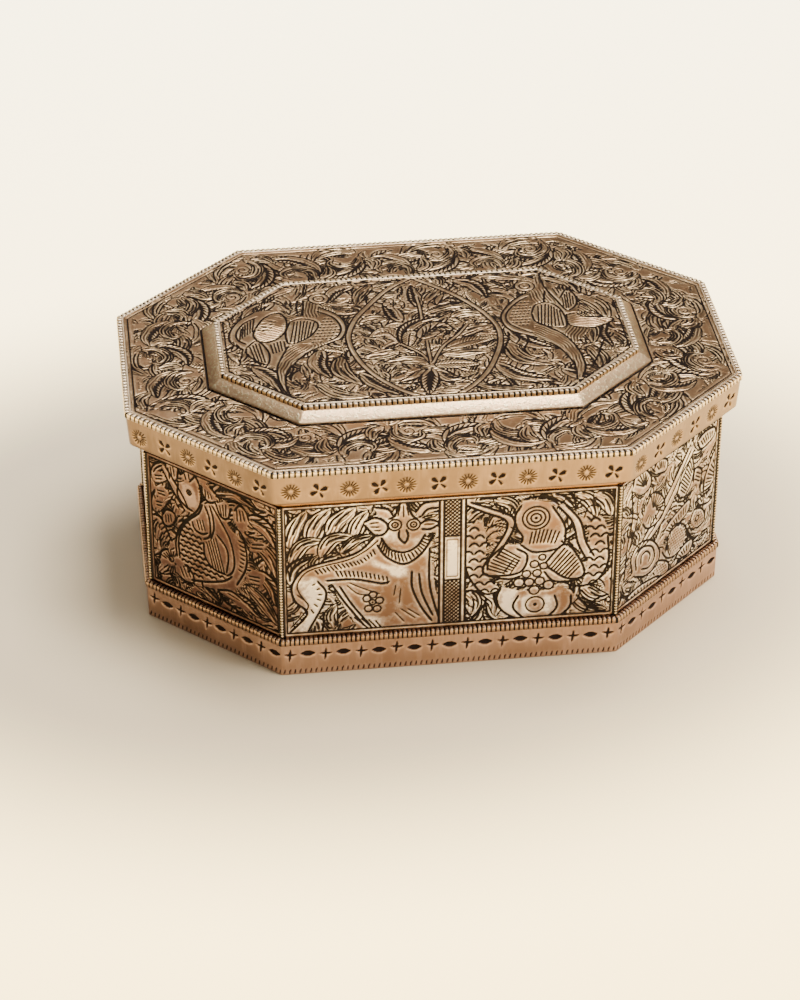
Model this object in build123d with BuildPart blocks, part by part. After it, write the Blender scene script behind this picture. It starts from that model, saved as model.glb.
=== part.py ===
from build123d import *
import os
from math import hypot

# A long eight-sided brass box with a lift-off lid. Millimetres, +Z up, +X along the
# box's length, -Y its front, origin under its middle on the surface that it stands on.

os.makedirs("parts", exist_ok=True)

# Outline: the lid's outer edge, which every other outline follows at its own inset.
lid_length = 152.0
lid_width = 109.4
corner_cut_x = 33.1
corner_cut_y = 31.3

# Lid
lid_side_height = 9.5
lid_overlap = 3.8
skirt_sheet = 1.1
skirt_top_inset = 0.3
skirt_bottom_inset = 0.9
skirt_bend = 2.5
lid_bead_width = 1.8
lid_bead_height = 1.5
lid_bead_round = 0.6
lid_bead_step = 0.3
lid_inner_sheet = 1.0
solder_gap = 0.05

# Raised boss on the lid
boss_foot_inset = 21.2
boss_slope_run = 2.7
boss_side_height = 2.2
boss_foot_width = 2.6
boss_bend = 1.5
boss_bead_inset = 0.1
boss_bead_width = 1.6
boss_bead_height = 1.2
boss_bead_round = 0.45
boss_sheet = 1.0

# Body of the box
lid_overhang = 4.4
floor_sheet = 1.2
wall_top = 48.5
wall_sheet = 1.4

# Collar that the lid slides over
collar_height = 7.0
collar_ledge = 0.4
collar_flare = 1.05
collar_sheet = 1.0
collar_lap = 8.0
collar_bend = 2.5

# Beaded strip up each corner of the walls
corner_bead_foot = 0.9
corner_bead_depth = 0.5
corner_bead_proud = 0.35

# Plinth
plinth_band_height = 9.0
plinth_band_sheet = 1.15
plinth_bead_proud = 1.65
plinth_bead_height = 1.8
plinth_bead_round = 0.6

# Insets and levels that follow from the sizes above
wall_face = lid_overhang
wall_back = wall_face + wall_sheet
collar_foot = wall_face + collar_ledge
collar_rim = collar_foot - collar_flare
collar_back = wall_back + collar_sheet
rim_top = wall_top + collar_height
skirt_bottom = rim_top - lid_overlap
lid_top = skirt_bottom + lid_side_height
skirt_top = lid_top - lid_bead_height
lid_plate_top = lid_top - lid_bead_step
boss_bead_bottom = lid_plate_top + boss_side_height
boss_bead_face = boss_foot_inset + boss_slope_run + boss_bead_inset
plinth_top = plinth_band_height + plinth_bead_height
skirt_inner_bend = skirt_bend - skirt_sheet

side_names = ["front", "front_right", "right", "back_right", "back", "back_left", "left", "front_left"]
corner_names = [
    "front_left",
    "front_right",
    "right_front",
    "right_back",
    "back_right",
    "back_left",
    "left_back",
    "left_front",
]


def octagon(inset):
    """The eight corners of the lid's outline moved inwards, anticlockwise from the front's left."""
    cut = hypot(corner_cut_x, corner_cut_y)
    x_side = lid_length / 2 - corner_cut_x - inset * corner_cut_y / (cut + corner_cut_x)
    y_side = lid_width / 2 - inset
    x_end = lid_length / 2 - inset
    y_end = lid_width / 2 - corner_cut_y - inset * corner_cut_x / (cut + corner_cut_y)
    front = [(-x_side, -y_side), (x_side, -y_side), (x_end, -y_end)]
    back = [(x_end, y_end), (x_side, y_side), (-x_side, y_side)]
    return front + back + [(-x_end, y_end), (-x_end, -y_end)]


def bead_feet(corner):
    """Where the strip on one corner meets the wall before that corner and the wall after it."""
    points = [Vector(*point) for point in octagon(wall_face)]
    here = points[corner]
    before = (points[corner - 1] - here).normalized() * corner_bead_foot
    after = (points[(corner + 1) % 8] - here).normalized() * corner_bead_foot
    return tuple(here + before)[:2], tuple(here + after)[:2]


def rounded_ring(face, back, level, height, radius):
    """A bar of the given height round an outline, with its outer edges rounded."""
    with BuildPart() as ring:
        with BuildSketch(Plane.XY.offset(level)):
            Polygon(*octagon(face), align=None)
        extrude(amount=height)
        fillet(ring.edges().filter_by(Axis.Z, reverse=True), radius)
        with BuildSketch(Plane.XY.offset(level)):
            Polygon(*octagon(back), align=None)
        extrude(amount=height, mode=Mode.SUBTRACT)
    return ring.part


def save(part, name):
    """Label one finished piece and write its STEP file."""
    part.label = name
    export_step(part, f"parts/{name}.step")


# Floor: one flat sheet that the walls stand on.
with BuildPart() as floor_plate:
    with BuildSketch():
        Polygon(*octagon(wall_face), align=None)
    extrude(amount=floor_sheet)
save(floor_plate.part, "floor_plate")

# Walls: eight flat sheets, mitred inside and cut back at the corner strips.
wall_backs = octagon(wall_back)
strip_backs = octagon(wall_face + corner_bead_depth)
for side in range(8):
    end = (side + 1) % 8
    with BuildPart() as wall:
        with BuildSketch(Plane.XY.offset(floor_sheet)):
            Polygon(
                bead_feet(side)[1],
                bead_feet(end)[0],
                strip_backs[end],
                wall_backs[end],
                wall_backs[side],
                strip_backs[side],
                align=None,
            )
        extrude(amount=wall_top - floor_sheet)
    save(wall.part, f"wall_{side_names[side]}")

# Corner strips: flush behind the plinth, proud of the walls above it.
wall_corners = octagon(wall_face)
bead_tips = octagon(wall_face - corner_bead_proud)
for corner in range(8):
    foot_before, foot_after = bead_feet(corner)
    with BuildPart() as corner_bead:
        with BuildSketch(Plane.XY.offset(floor_sheet)):
            Polygon(foot_before, wall_corners[corner], foot_after, strip_backs[corner], align=None)
        extrude(amount=plinth_top - floor_sheet)
        with BuildSketch(Plane.XY.offset(plinth_top)):
            Polygon(foot_before, bead_tips[corner], foot_after, strip_backs[corner], align=None)
        extrude(amount=wall_top - plinth_top)
    save(corner_bead.part, f"corner_bead_{corner_names[corner]}")

# Collar: a bent strip that laps inside the walls, sits on their tops and flares to its rim.
with BuildPart() as collar:
    with BuildSketch(Plane.XY.offset(wall_top)) as collar_foot_plan:
        Polygon(*octagon(collar_foot), align=None)
        fillet(collar_foot_plan.vertices(), collar_bend)
    with BuildSketch(Plane.XY.offset(rim_top)) as collar_rim_plan:
        Polygon(*octagon(collar_rim), align=None)
        fillet(collar_rim_plan.vertices(), collar_bend)
    loft()
    with BuildSketch(Plane.XY.offset(wall_top - collar_lap)):
        Polygon(*octagon(wall_back), align=None)
    extrude(amount=collar_lap)
    with BuildSketch(Plane.XY.offset(wall_top - collar_lap)):
        Polygon(*octagon(collar_back), align=None)
    extrude(amount=collar_lap, mode=Mode.SUBTRACT)
    with BuildSketch(Plane.XY.offset(wall_top)):
        Polygon(*octagon(collar_back), align=None)
    with BuildSketch(Plane.XY.offset(rim_top)) as collar_mouth_plan:
        Polygon(*octagon(collar_rim + collar_sheet), align=None)
    loft(mode=Mode.SUBTRACT)
save(collar.part, "collar")

# Plinth band: a strip bent round the foot of the walls.
with BuildPart() as plinth_band:
    with BuildSketch():
        Polygon(*octagon(wall_face - plinth_band_sheet), align=None)
        Polygon(*octagon(wall_face), align=None, mode=Mode.SUBTRACT)
    extrude(amount=plinth_band_height)
save(plinth_band.part, "plinth_band")

# Plinth bead: a rounded bar along the band's top edge.
plinth_bead = rounded_ring(
    wall_face - plinth_bead_proud, wall_face, plinth_band_height, plinth_bead_height, plinth_bead_round
)
save(plinth_bead, "plinth_bead")

# Lid bead: a rounded bar round the lid's top edge, on the skirt.
lid_bead = rounded_ring(0, lid_bead_width, skirt_top, lid_bead_height, lid_bead_round)
save(lid_bead, "lid_bead")

# Lid skirt: a bent strip, a little narrower at its bottom.
with BuildPart() as lid_skirt:
    for inset, bend, mode in [(0, skirt_bend, Mode.ADD), (skirt_sheet, skirt_inner_bend, Mode.SUBTRACT)]:
        with BuildSketch(Plane.XY.offset(skirt_bottom)) as skirt_bottom_plan:
            Polygon(*octagon(skirt_bottom_inset + inset), align=None)
            fillet(skirt_bottom_plan.vertices(), bend)
        with BuildSketch(Plane.XY.offset(skirt_top)) as skirt_top_plan:
            Polygon(*octagon(skirt_top_inset + inset), align=None)
            fillet(skirt_top_plan.vertices(), bend)
        loft(mode=mode)
save(lid_skirt.part, "lid_skirt")

# Lid plate: the flat top inside the bead.
with BuildPart() as lid_plate:
    with BuildSketch(Plane.XY.offset(skirt_top)):
        Polygon(*octagon(lid_bead_width), align=None)
    extrude(amount=lid_plate_top - skirt_top)
save(lid_plate.part, "lid_plate")

# Lid inner plate: a plain sheet inside the skirt, which rests on the collar's rim.
with BuildPart() as lid_inner_plate:
    with BuildSketch(Plane.XY.offset(rim_top)) as inner_plan:
        Polygon(*octagon(skirt_bottom_inset + skirt_sheet + solder_gap), align=None)
        fillet(inner_plan.vertices(), skirt_inner_bend)
    extrude(amount=lid_inner_sheet)
save(lid_inner_plate.part, "lid_inner_plate")

# Boss moulding: a plain sloping strip that stands on the lid plate.
with BuildPart() as boss_moulding:
    for inset, mode in [(0, Mode.ADD), (boss_foot_width, Mode.SUBTRACT)]:
        with BuildSketch(Plane.XY.offset(lid_plate_top)) as boss_foot_plan:
            Polygon(*octagon(boss_foot_inset + inset), align=None)
            fillet(boss_foot_plan.vertices(), boss_bend)
        with BuildSketch(Plane.XY.offset(boss_bead_bottom)) as boss_top_plan:
            Polygon(*octagon(boss_foot_inset + boss_slope_run + inset), align=None)
            fillet(boss_top_plan.vertices(), boss_bend)
        loft(mode=mode)
save(boss_moulding.part, "boss_moulding")

# Boss bead: a rounded bar round the boss's top edge.
boss_bead = rounded_ring(
    boss_bead_face, boss_bead_face + boss_bead_width, boss_bead_bottom, boss_bead_height, boss_bead_round
)
save(boss_bead, "boss_bead")

# Boss plate: the flat top of the boss, inside its bead and seated on the moulding's shoulder.
with BuildPart() as boss_plate:
    with BuildSketch(Plane.XY.offset(boss_bead_bottom)):
        Polygon(*octagon(boss_bead_face + boss_bead_width), align=None)
    extrude(amount=boss_sheet)
save(boss_plate.part, "boss_plate")
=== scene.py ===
import math
import random

import bpy
import numpy as np
from mathutils import Matrix, Vector


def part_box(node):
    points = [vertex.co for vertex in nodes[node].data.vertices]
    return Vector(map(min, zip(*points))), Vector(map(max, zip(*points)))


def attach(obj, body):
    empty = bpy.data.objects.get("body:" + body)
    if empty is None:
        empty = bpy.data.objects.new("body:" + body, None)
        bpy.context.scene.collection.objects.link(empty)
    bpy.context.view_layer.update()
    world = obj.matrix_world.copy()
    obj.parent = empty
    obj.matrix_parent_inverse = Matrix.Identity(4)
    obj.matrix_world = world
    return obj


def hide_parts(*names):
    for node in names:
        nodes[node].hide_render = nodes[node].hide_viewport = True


mm = 0.001  # settings are in millimetres, those of the floor and the lights in metres

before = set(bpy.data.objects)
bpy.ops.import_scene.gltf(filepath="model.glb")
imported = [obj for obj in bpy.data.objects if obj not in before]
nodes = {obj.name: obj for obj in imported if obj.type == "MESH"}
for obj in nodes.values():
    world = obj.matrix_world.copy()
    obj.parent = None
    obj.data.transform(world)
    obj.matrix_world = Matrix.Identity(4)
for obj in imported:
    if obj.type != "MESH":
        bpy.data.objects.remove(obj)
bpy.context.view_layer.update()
print("frame loaded:", len(nodes), "pieces")


# camera
cameraSettings = {
    "elevation": 33.56,  # degrees above the floor
    "turn": -6.82,  # degrees round from straight in front
    "distance": 783.4,
    "shiftRight": -6.19,
    "shiftUp": 12.15,
    "lens": 108.0,
    "sensor": 36,
    "clip": (0.01, 20),  # nearest and farthest, in metres
}


def viewAxes(elevation, turn):
    e, t = math.radians(elevation), math.radians(turn)
    back = Vector((math.sin(t) * math.cos(e), -math.cos(t) * math.cos(e), math.sin(e)))
    right = Vector((0, 0, 1)).cross(back).normalized()
    return right, back.cross(right), back


def addObject(name, data):
    made = bpy.data.objects.new(name, data)
    bpy.context.scene.collection.objects.link(made)
    return made


def addCamera(s):
    right, up, back = viewAxes(s["elevation"], s["turn"])
    data = bpy.data.cameras.new("camera")
    data.lens = s["lens"]
    data.sensor_width = s["sensor"]
    data.clip_start, data.clip_end = s["clip"]
    camera = addObject("camera", data)
    place = (back * s["distance"] + right * s["shiftRight"] + up * s["shiftUp"]) * mm
    camera.matrix_world = Matrix.Translation(place) @ Matrix((right, up, back)).transposed().to_4x4()
    bpy.context.scene.camera = camera


addCamera(cameraSettings)


# shader maths
class Link:
    # one socket of a node tree, so that sums on it read as plain maths
    def __init__(self, tree, socket):
        self.tree = tree
        self.socket = socket

    def maths(self, operation, *values):
        return self.tree.node("ShaderNodeMath", {"operation": operation}, values)

    def __add__(self, other):
        return self.maths("ADD", self, other)

    def __radd__(self, other):
        return self.maths("ADD", other, self)

    def __sub__(self, other):
        return self.maths("SUBTRACT", self, other)

    def __rsub__(self, other):
        return self.maths("SUBTRACT", other, self)

    def __mul__(self, other):
        return self.maths("MULTIPLY", self, other)

    def __rmul__(self, other):
        return self.maths("MULTIPLY", other, self)

    def __truediv__(self, other):
        return self.maths("DIVIDE", self, other)

    def __rtruediv__(self, other):
        return self.maths("DIVIDE", other, self)

    def sine(self):
        return self.maths("SINE", self)

    def clamped(self):
        return self.tree.node("ShaderNodeClamp", {}, (self, 0.0, 1.0))

    def between(self, low, high):
        return ((self - low) / (high - low)).clamped()


class Tree:
    # a node tree and the way its nodes are added
    def __init__(self, tree):
        self.nodes = tree.nodes
        self.links = tree.links

    def node(self, kind, settings, values, output=0):
        made = self.nodes.new(kind)
        for key, value in settings.items():
            if key == "stops":
                for stop, (position, colour) in zip(made.color_ramp.elements, value):
                    stop.position = position
                    stop.color = (*colour, 1)
            else:
                setattr(made, key, value)
        for key, value in values.items() if isinstance(values, dict) else enumerate(values):
            self.put(made.inputs[key], value)
        return Link(self, made.outputs[output])

    def put(self, socket, value):
        if isinstance(value, Link):
            self.links.new(value.socket, socket)
        elif isinstance(value, tuple) and len(value) == 3 and socket.type == "RGBA":
            socket.default_value = (*value, 1)
        else:
            socket.default_value = value


class Finish(Tree):
    # a material and the few kinds of node that the finishes below are made of
    def __init__(self, name):
        self.material = bpy.data.materials.new(name)
        self.material.use_nodes = True
        super().__init__(self.material.node_tree)

    def place(self):
        return self.node("ShaderNodeTexCoord", {}, (), "Object")

    def attribute(self, name):
        return self.node("ShaderNodeAttribute", {"attribute_name": name}, (), "Fac")

    def noise(self, scale, detail=2.0, roughness=0.5, stretch=(1, 1, 1)):
        where = self.node("ShaderNodeMapping", {}, {"Vector": self.place(), "Scale": stretch})
        return self.node("ShaderNodeTexNoise", {},
                         {"Vector": where, "Scale": scale, "Detail": detail, "Roughness": roughness}, "Fac")

    def mixed(self, factor, first, second):
        # sockets 6 and 7 are the Mix node's two colours, output 2 its result
        return self.node("ShaderNodeMix", {"data_type": "RGBA", "clamp_factor": True},
                         {0: factor, 6: first, 7: second}, 2)

    def bump(self, height, strength, distance):
        return self.node("ShaderNodeBump", {},
                         {"Strength": strength, "Distance": distance, "Height": height}, "Normal")

    def made(self, sockets):
        # the material, once the shader's sockets have these values or links
        for name, value in sockets.items():
            self.put(self.nodes["Principled BSDF"].inputs[name], value)
        return self.material


# outlines, read from the frame
sideNames = ["front", "front_right", "right", "back_right", "back", "back_left", "left", "front_left"]
sideCount = len(sideNames)
oneStep = 1000  # a spacing longer than any side, which leaves only its ends
cornerSteps = 5  # of a bent corner


def rayTo(turn):
    return np.array((math.cos(turn), math.sin(turn)))


def unitOf(vector):
    return vector / np.linalg.norm(vector, axis=-1, keepdims=True)


def onwards(points):
    # each point's next one, round a closed line
    return np.roll(points, -1, axis=0)


def cornersOf(node):
    return np.array([v.co for v in nodes[node].data.vertices]) / mm


def planOf(node):
    # the piece's corners seen from above, anticlockwise, in millimetres
    points = np.unique(cornersOf(node)[:, :2].round(3), axis=0)
    around = points - points.mean(0)
    return points[np.argsort(np.arctan2(around[:, 1], around[:, 0]))]


def levels(node):
    low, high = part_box(node)
    return low.z / mm, high.z / mm


floorPlan = planOf("floor_plate")  # the walls' outer faces stand over this outline
frontLeft = int(np.argmin(floorPlan @ np.array((0.2, 1.0))))  # the front's left end, where it begins
floorPlan = np.roll(floorPlan, -frontLeft, axis=0)


def outline(out):
    # the walls' outline moved outwards by this much
    before = unitOf(floorPlan - np.roll(floorPlan, 1, axis=0))
    after = onwards(before)
    normalA = np.stack((before[:, 1], -before[:, 0]), 1)
    normalB = np.stack((after[:, 1], -after[:, 0]), 1)
    share = 1 + (normalA * normalB).sum(1, keepdims=True)
    return floorPlan + out * (normalA + normalB) / share


def roundedOutline(out, radius, spacing):
    # points round the outline with bent corners, their outward normals and which side each is on;
    # the same spacing always gives the same count, so two outlines can be joined level by level
    corners = outline(out)
    lengths = np.linalg.norm(onwards(floorPlan) - floorPlan, axis=1)
    points, normals, sides = [], [], []
    for side in range(sideCount):
        behind, here, there, beyond = (corners[(side + k) % sideCount] for k in (-1, 0, 1, 2))
        along = unitOf(there - here)
        normal = np.array((along[1], -along[0]))
        turnBack = math.acos(np.clip(along @ unitOf(here - behind), -1, 1))
        turnOn = math.acos(np.clip(along @ unitOf(beyond - there), -1, 1))
        first = here + along * radius * math.tan(turnBack / 2)
        last = there - along * radius * math.tan(turnOn / 2)
        for share in np.linspace(0, 1, int(lengths[side] / spacing) + 1):
            points.append(first + (last - first) * share)
            normals.append(normal)
        start = math.atan2(normal[1], normal[0])
        for step in range(1, cornerSteps):
            spoke = rayTo(start + turnOn * step / cornerSteps)
            points.append(last - normal * radius + spoke * radius)
            normals.append(spoke)
        sides += [side] * (len(points) - len(sides))
    return np.array(points), np.array(normals), np.array(sides)


# meshes
def addMesh(name, points, edges=(), faces=(), smooth=False):
    # points in millimetres
    mesh = bpy.data.meshes.new(name)
    mesh.from_pydata((np.asarray(points) * mm).tolist(), edges, faces)
    mesh.polygons.foreach_set("use_smooth", smooth if isinstance(smooth, list) else [smooth] * len(faces))
    return addObject(name, mesh)


def settle(piece, body, stands=()):
    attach(piece, body)
    if stands:
        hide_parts(*stands)
    return piece


def meshPiece(name, points, faces, finish, body, stands=(), smooth=True, values=None):
    piece = addMesh(name, points, (), faces, smooth)
    piece.data.materials.append(finish)
    for key, value in (values or {}).items():
        piece.data.attributes.new(key, "FLOAT", "POINT").data.foreach_set("value", value)
    piece.data.update()
    return settle(piece, body, stands)


def gridFaces(across, up):
    # quads of a grid of points stored row by row
    corner = (np.arange(up - 1)[:, None] * across + np.arange(across - 1)[None, :]).ravel()
    return np.stack((corner, corner + 1, corner + across + 1, corner + across), 1).tolist()


def bandFaces(rows, count, start=0, closed=False):
    # quads between rings of points stored one after the other; closed joins the last to the first
    k = start + np.arange(count)
    on = start + (np.arange(count) + 1) % count
    faces = []
    for row in range(rows if closed else rows - 1):
        this, above = row * count, (row + 1) % rows * count
        faces += np.stack((this + k, this + on, above + on, above + k), 1).tolist()
    return faces


def ringBar(name, profile, finish, body, stands, bend):
    # a closed bar round the box: profile is its section as (outwards, height) pairs
    rings = [roundedOutline(out, bend, oneStep)[0] for out, _ in profile]
    count = len(rings[0])
    points = [np.column_stack((ring, np.full(count, z))) for ring, (_, z) in zip(rings, profile)]
    faces = bandFaces(len(profile), count, closed=True)
    return meshPiece(name, np.concatenate(points), faces, finish, body, stands)


# chasing
combPitch = 0.82  # from one fine stroke to the next
combDepth = 0.07
strokes = {  # width, depth, and how long the thinning at either end is
    "bold": (0.68, 0.42, (0.8, 0.8)),
    "fine": (0.42, 0.28, (0.6, 0.6)),
    "hatch": (0.50, 0.36, (0.2, 0.5)),
    "scale": (0.62, 0.42, (0.5, 0.5)),
    "dot": (0.60, 0.36, (0, 0)),
    "eye": (0.56, 0.30, (0, 0)),
    "edge": (0.45, 0.34, (0, 0)),
    "rim": (0.50, 0.34, (0, 0)),
    "leafRib": (0.58, 0.38, (0.3, 2.0)),
    "leafSpine": (0.58, 0.26, (0.3, 1.5)),
    "leafVein": (0.58, 0.38, (0.4, 2.4)),
    "leafLeft": (0.50, 0.40, (0, 0)),
    "leafRight": (0.40, 0.34, (2.0, 2.0)),
    "tendril": (0.45, 0.30, (0.6, 0.4)),
    "cord": (0.45, 0.36, (0.5, 0.5)),
    "petal": (0.45, 0.32, (0, 0)),
    "petalMiddle": (0.32, 0.24, (0.2, 0.3)),
    "flowerRing": (0.40, 0.32, (0, 0)),
    "flowerEye": (0.67, 0.34, (0, 0)),
    "crossUp": (0.36, 0.30, (0, 0)),
    "crossDown": (0.30, 0.26, (0, 0)),
    "plateEdge": (0.34, 0.20, (0, 0)),
    "frame": (0.60, 0.40, (0, 0)),
    "lidScratch": (0.30, 0.07, (2, 2)),
    "skirtScratch": (0.14, 0.03, (1, 1)),
    "sunRay": (0.44, 0.32, (0.9, 0.1)),
    "clover": (1.40, 0.50, (0.1, 1.7)),
    "pod": (1.90, 0.50, (1.5, 1.5)),
    "star": (0.72, 0.42, (0.1, 1.2)),
    "tick": (0.45, 0.34, (0.1, 0.7)),
}
sheetSettings = {  # how the metal takes the tool; reaches in millimetres
    "cell": 0.13,
    "soft": 0.18,  # rounding close beside a cut
    "wide": 0.45,  # how far the painted highlight beside a cut reaches
    "sunkSoft": 0.16,
    "wearAndHighlightSoft": 0.4,
    "deepest": 0.5,
}


def circle(centre, radius, count):
    turn = np.linspace(0, 2 * math.pi, count)
    return np.asarray(centre) + np.column_stack((np.cos(turn), np.sin(turn))) * radius


def oblong(left, low, right, high):
    return [(left, low), (right, low), (right, high), (left, high)]


def covers(shape, u, v):
    # which of the points lie inside a closed outline
    within = np.zeros(u.shape, bool)
    for a, b in zip(shape, onwards(shape)):
        if abs(b[1] - a[1]) > 1e-9:
            within ^= ((a[1] > v) != (b[1] > v)) & (u < (b[0] - a[0]) * (v - a[1]) / (b[1] - a[1]) + a[0])
    return within


def nearest(u, v, a, b):
    # how far along the line from a to b the nearest place to each point is, and the way from it
    d = b - a
    share = np.clip(((u - a[0]) * d[0] + (v - a[1]) * d[1]) / max(d @ d, 1e-9), 0, 1)
    return share, u - a[0] - share * d[0], v - a[1] - share * d[1]


def blurred(layer, reach):
    # a soft blur, reach in raster cells
    size = max(1, int(math.ceil(2.5 * reach)))
    kernel = np.exp(-0.5 * (np.arange(-size, size + 1) / reach) ** 2)
    kernel /= kernel.sum()
    for axis in (0, 1):
        pad = [(size, size) if k == axis else (0, 0) for k in (0, 1)]
        padded = np.pad(layer, pad, mode="edge")
        count = layer.shape[axis]
        parts = [np.take(padded, range(k, k + count), axis) * weight for k, weight in enumerate(kernel)]
        layer = sum(parts)
    return layer


class Drawing:
    # a sheet to be chased, laid out flat: depths in millimetres on a fine raster
    def __init__(self, low, high, cell=sheetSettings["cell"], ground=0.0):
        self.low = np.array(low, float)
        self.cell = cell
        self.count = np.ceil((np.array(high) - self.low) / cell).astype(int) + 1
        self.u = self.low[0] + cell * np.arange(self.count[0])
        self.v = self.low[1] + cell * np.arange(self.count[1])
        self.cut = np.zeros((self.count[1], self.count[0]))  # the tool's own cuts
        self.sunk = np.full_like(self.cut, ground)  # how far the metal is set down
        self.comb = np.zeros_like(self.cut)  # how far across the fine strokes, 0 without
        self.wearAndHighlight = np.zeros_like(self.cut)  # where a patch is painted bright, a painted highlight

    def window(self, points, margin):
        # the part of the raster round some points, empty where they are off the sheet
        low = np.floor((points.min(0) - margin - self.low) / self.cell).astype(int)
        high = np.ceil((points.max(0) + margin - self.low) / self.cell).astype(int) + 1
        low = np.clip(low, 0, self.count)
        high = np.clip(high, low, self.count)
        area = (slice(low[1], high[1]), slice(low[0], high[0]))
        return area, *np.meshgrid(self.u[area[1]], self.v[area[0]])

    def line(self, points, stroke, width=None, ends=None):
        # one groove, in pieces of a few steps: full width in the middle, thinner at its ends
        usualWidth, depth, usualEnds = strokes[stroke]
        half = 0.5 * (width or usualWidth)
        ends = ends or usualEnds
        points = np.asarray(points, float)
        steps = np.linalg.norm(np.diff(points, axis=0), axis=1)
        run = np.concatenate(([0], np.cumsum(steps)))
        for first in range(0, len(steps), 4):
            part = points[first:first + 5]
            area, u, v = self.window(part, 2 * half)
            best = np.full(u.shape, 9.0)
            for k, (a, b) in enumerate(zip(part[:-1], part[1:]), first):
                share, x, y = nearest(u, v, a, b)
                at = run[k] + share * steps[k]
                thin = [far / end for far, end in zip((at, run[-1] - at), ends) if end]
                thin = np.minimum.reduce([np.ones_like(at), *thin])
                best = np.minimum(best, np.hypot(x, y) / (half * np.clip(0.35 + thin, 0.35, 1)))
            groove = depth * np.clip(1.25 * (1 - best), 0, 1)
            self.cut[area] = np.maximum(self.cut[area], groove)

    def inside(self, shape):
        # the raster's part round a closed outline, and which of its points lie inside
        shape = np.asarray(shape, float)
        area, u, v = self.window(shape, 0)
        return area, u, v, covers(shape, u, v)

    def clear(self, shape, sunk=0.0):
        # a fresh smooth form over whatever was there
        area, _, _, within = self.inside(shape)
        for layer, value in ((self.cut, 0.0), (self.sunk, sunk), (self.comb, 0.0), (self.wearAndHighlight, 0.0)):
            layer[area][within] = value

    def paintHighlight(self, shape):
        # a patch painted bright: a painted highlight
        area, _, _, within = self.inside(shape)
        self.wearAndHighlight[area][within] = 1.0

    def combed(self, shape, spine, slant=0.0):
        # fine strokes inside a form: along its spine, or with a slant, across it
        area, u, v, within = self.inside(shape)
        best = np.full(u.shape, 99.0)
        off, at, run = np.zeros_like(u), np.zeros_like(u), 0.0
        for a, b in zip(spine[:-1], spine[1:]):
            share, x, y = nearest(u, v, a, b)
            far, length = np.hypot(x, y), math.dist(a, b)
            nearer = far < best
            off = np.where(nearer, np.sign((b - a)[0] * y - (b - a)[1] * x) * far, off)
            at = np.where(nearer, run + share * length, at)
            best = np.minimum(best, far)
            run += length
        value = at - slant * np.abs(off) if slant else off + 0.12 * np.sin(1.3 * at + spine[0][0])
        self.comb[area][within] = value[within] + 0.4

    def outlined(self, corners, stroke):
        # a straight groove along each side
        for a, b in zip(corners, [*corners[1:], corners[0]]):
            self.line([a, b], stroke)

    def dot(self, centre, radius, stroke="dot"):
        centre = np.asarray(centre, float)
        self.line([centre, centre + (0.01, 0)], stroke, 2 * radius)

    def finished(self):
        # the metal rounded beside the cuts: its depth, how dark it is, and how bright it is painted, partly
        # wear and partly painted highlight
        s = sheetSettings
        soft, wide = blurred(self.cut, s["soft"] / self.cell), blurred(self.cut, s["wide"] / self.cell)
        sunk = blurred(self.sunk, s["sunkSoft"] / self.cell)
        fine = np.clip((np.sin(self.comb * 2 * math.pi / combPitch) + 0.05) / 0.7, 0, 1) * (self.comb != 0)
        self.depth = np.minimum(sunk + 0.5 * self.cut + 0.6 * soft + combDepth * fine, s["deepest"])
        self.dark = np.clip(0.85 * self.cut / 0.24 + 0.15 * soft / 0.15 + 0.5 * sunk / 0.3, 0, 1)
        wearAndHighlight = 1.6 * blurred(self.wearAndHighlight, s["wearAndHighlightSoft"] / self.cell)
        # ridges beside the cuts painted bright, partly wear and partly painted highlight, plus the painted
        # highlight patches
        self.sheenAndWear = np.clip((1.5 * wide - 2.4 * self.cut - 0.5 * sunk) / 0.2 + wearAndHighlight, 0, 1.6)

    def sampled(self, u, v, layer):
        # the layer's values at any points of the sheet
        x = np.clip((u - self.low[0]) / self.cell, 0, self.count[0] - 1.001)
        y = np.clip((v - self.low[1]) / self.cell, 0, self.count[1] - 1.001)
        i, j = x.astype(int), y.astype(int)
        fx, fy = x - i, y - j
        low = layer[j, i] * (1 - fx) + layer[j, i + 1] * fx
        high = layer[j + 1, i] * (1 - fx) + layer[j + 1, i + 1] * fx
        return low * (1 - fy) + high * fy


def flowing(points, step=0.7):
    # a smooth curve through a few points
    p = np.asarray(points, float)
    if len(p) == 2:
        return p
    p = np.vstack((2 * p[0] - p[1], p, 2 * p[-1] - p[-2]))
    out = []
    for k in range(1, len(p) - 2):
        a, b, c, d = p[k - 1:k + 3]
        count = max(2, int(np.linalg.norm(c - b) / step))
        t = np.linspace(0, 1, count, endpoint=False)[:, None]
        out.append(0.5 * (2 * b + (c - a) * t + (2 * a - 5 * b + 4 * c - d) * t ** 2
                          + (3 * b - a - 3 * c + d) * t ** 3))
    return np.vstack(out + [p[-2:-1]])


def sideways(spine):
    along = unitOf(np.gradient(spine, axis=0))
    return np.stack((-along[:, 1], along[:, 0]), 1)


def onLine(line, share):
    # the point this share of the way along a line's points
    x = np.clip(share, 0, 1) * (len(line) - 1)
    i = min(int(x), len(line) - 2)
    return line[i] + (line[i + 1] - line[i]) * (x - i)


leafSettings = {
    "lean": 3.4,  # how far a rib runs on from the spine to the edge
    "pitch": 1.2,  # between ribs
    "edge": 0.5,
    "across": 0.8,  # slant of the fine strokes of a "cross" leaf
    "veins": ((-0.27, 0.12, 0.62), (0.05, 0.36, 0.9), (0.3, 0.2, 0.74)),  # place across, first, last
}


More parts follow.
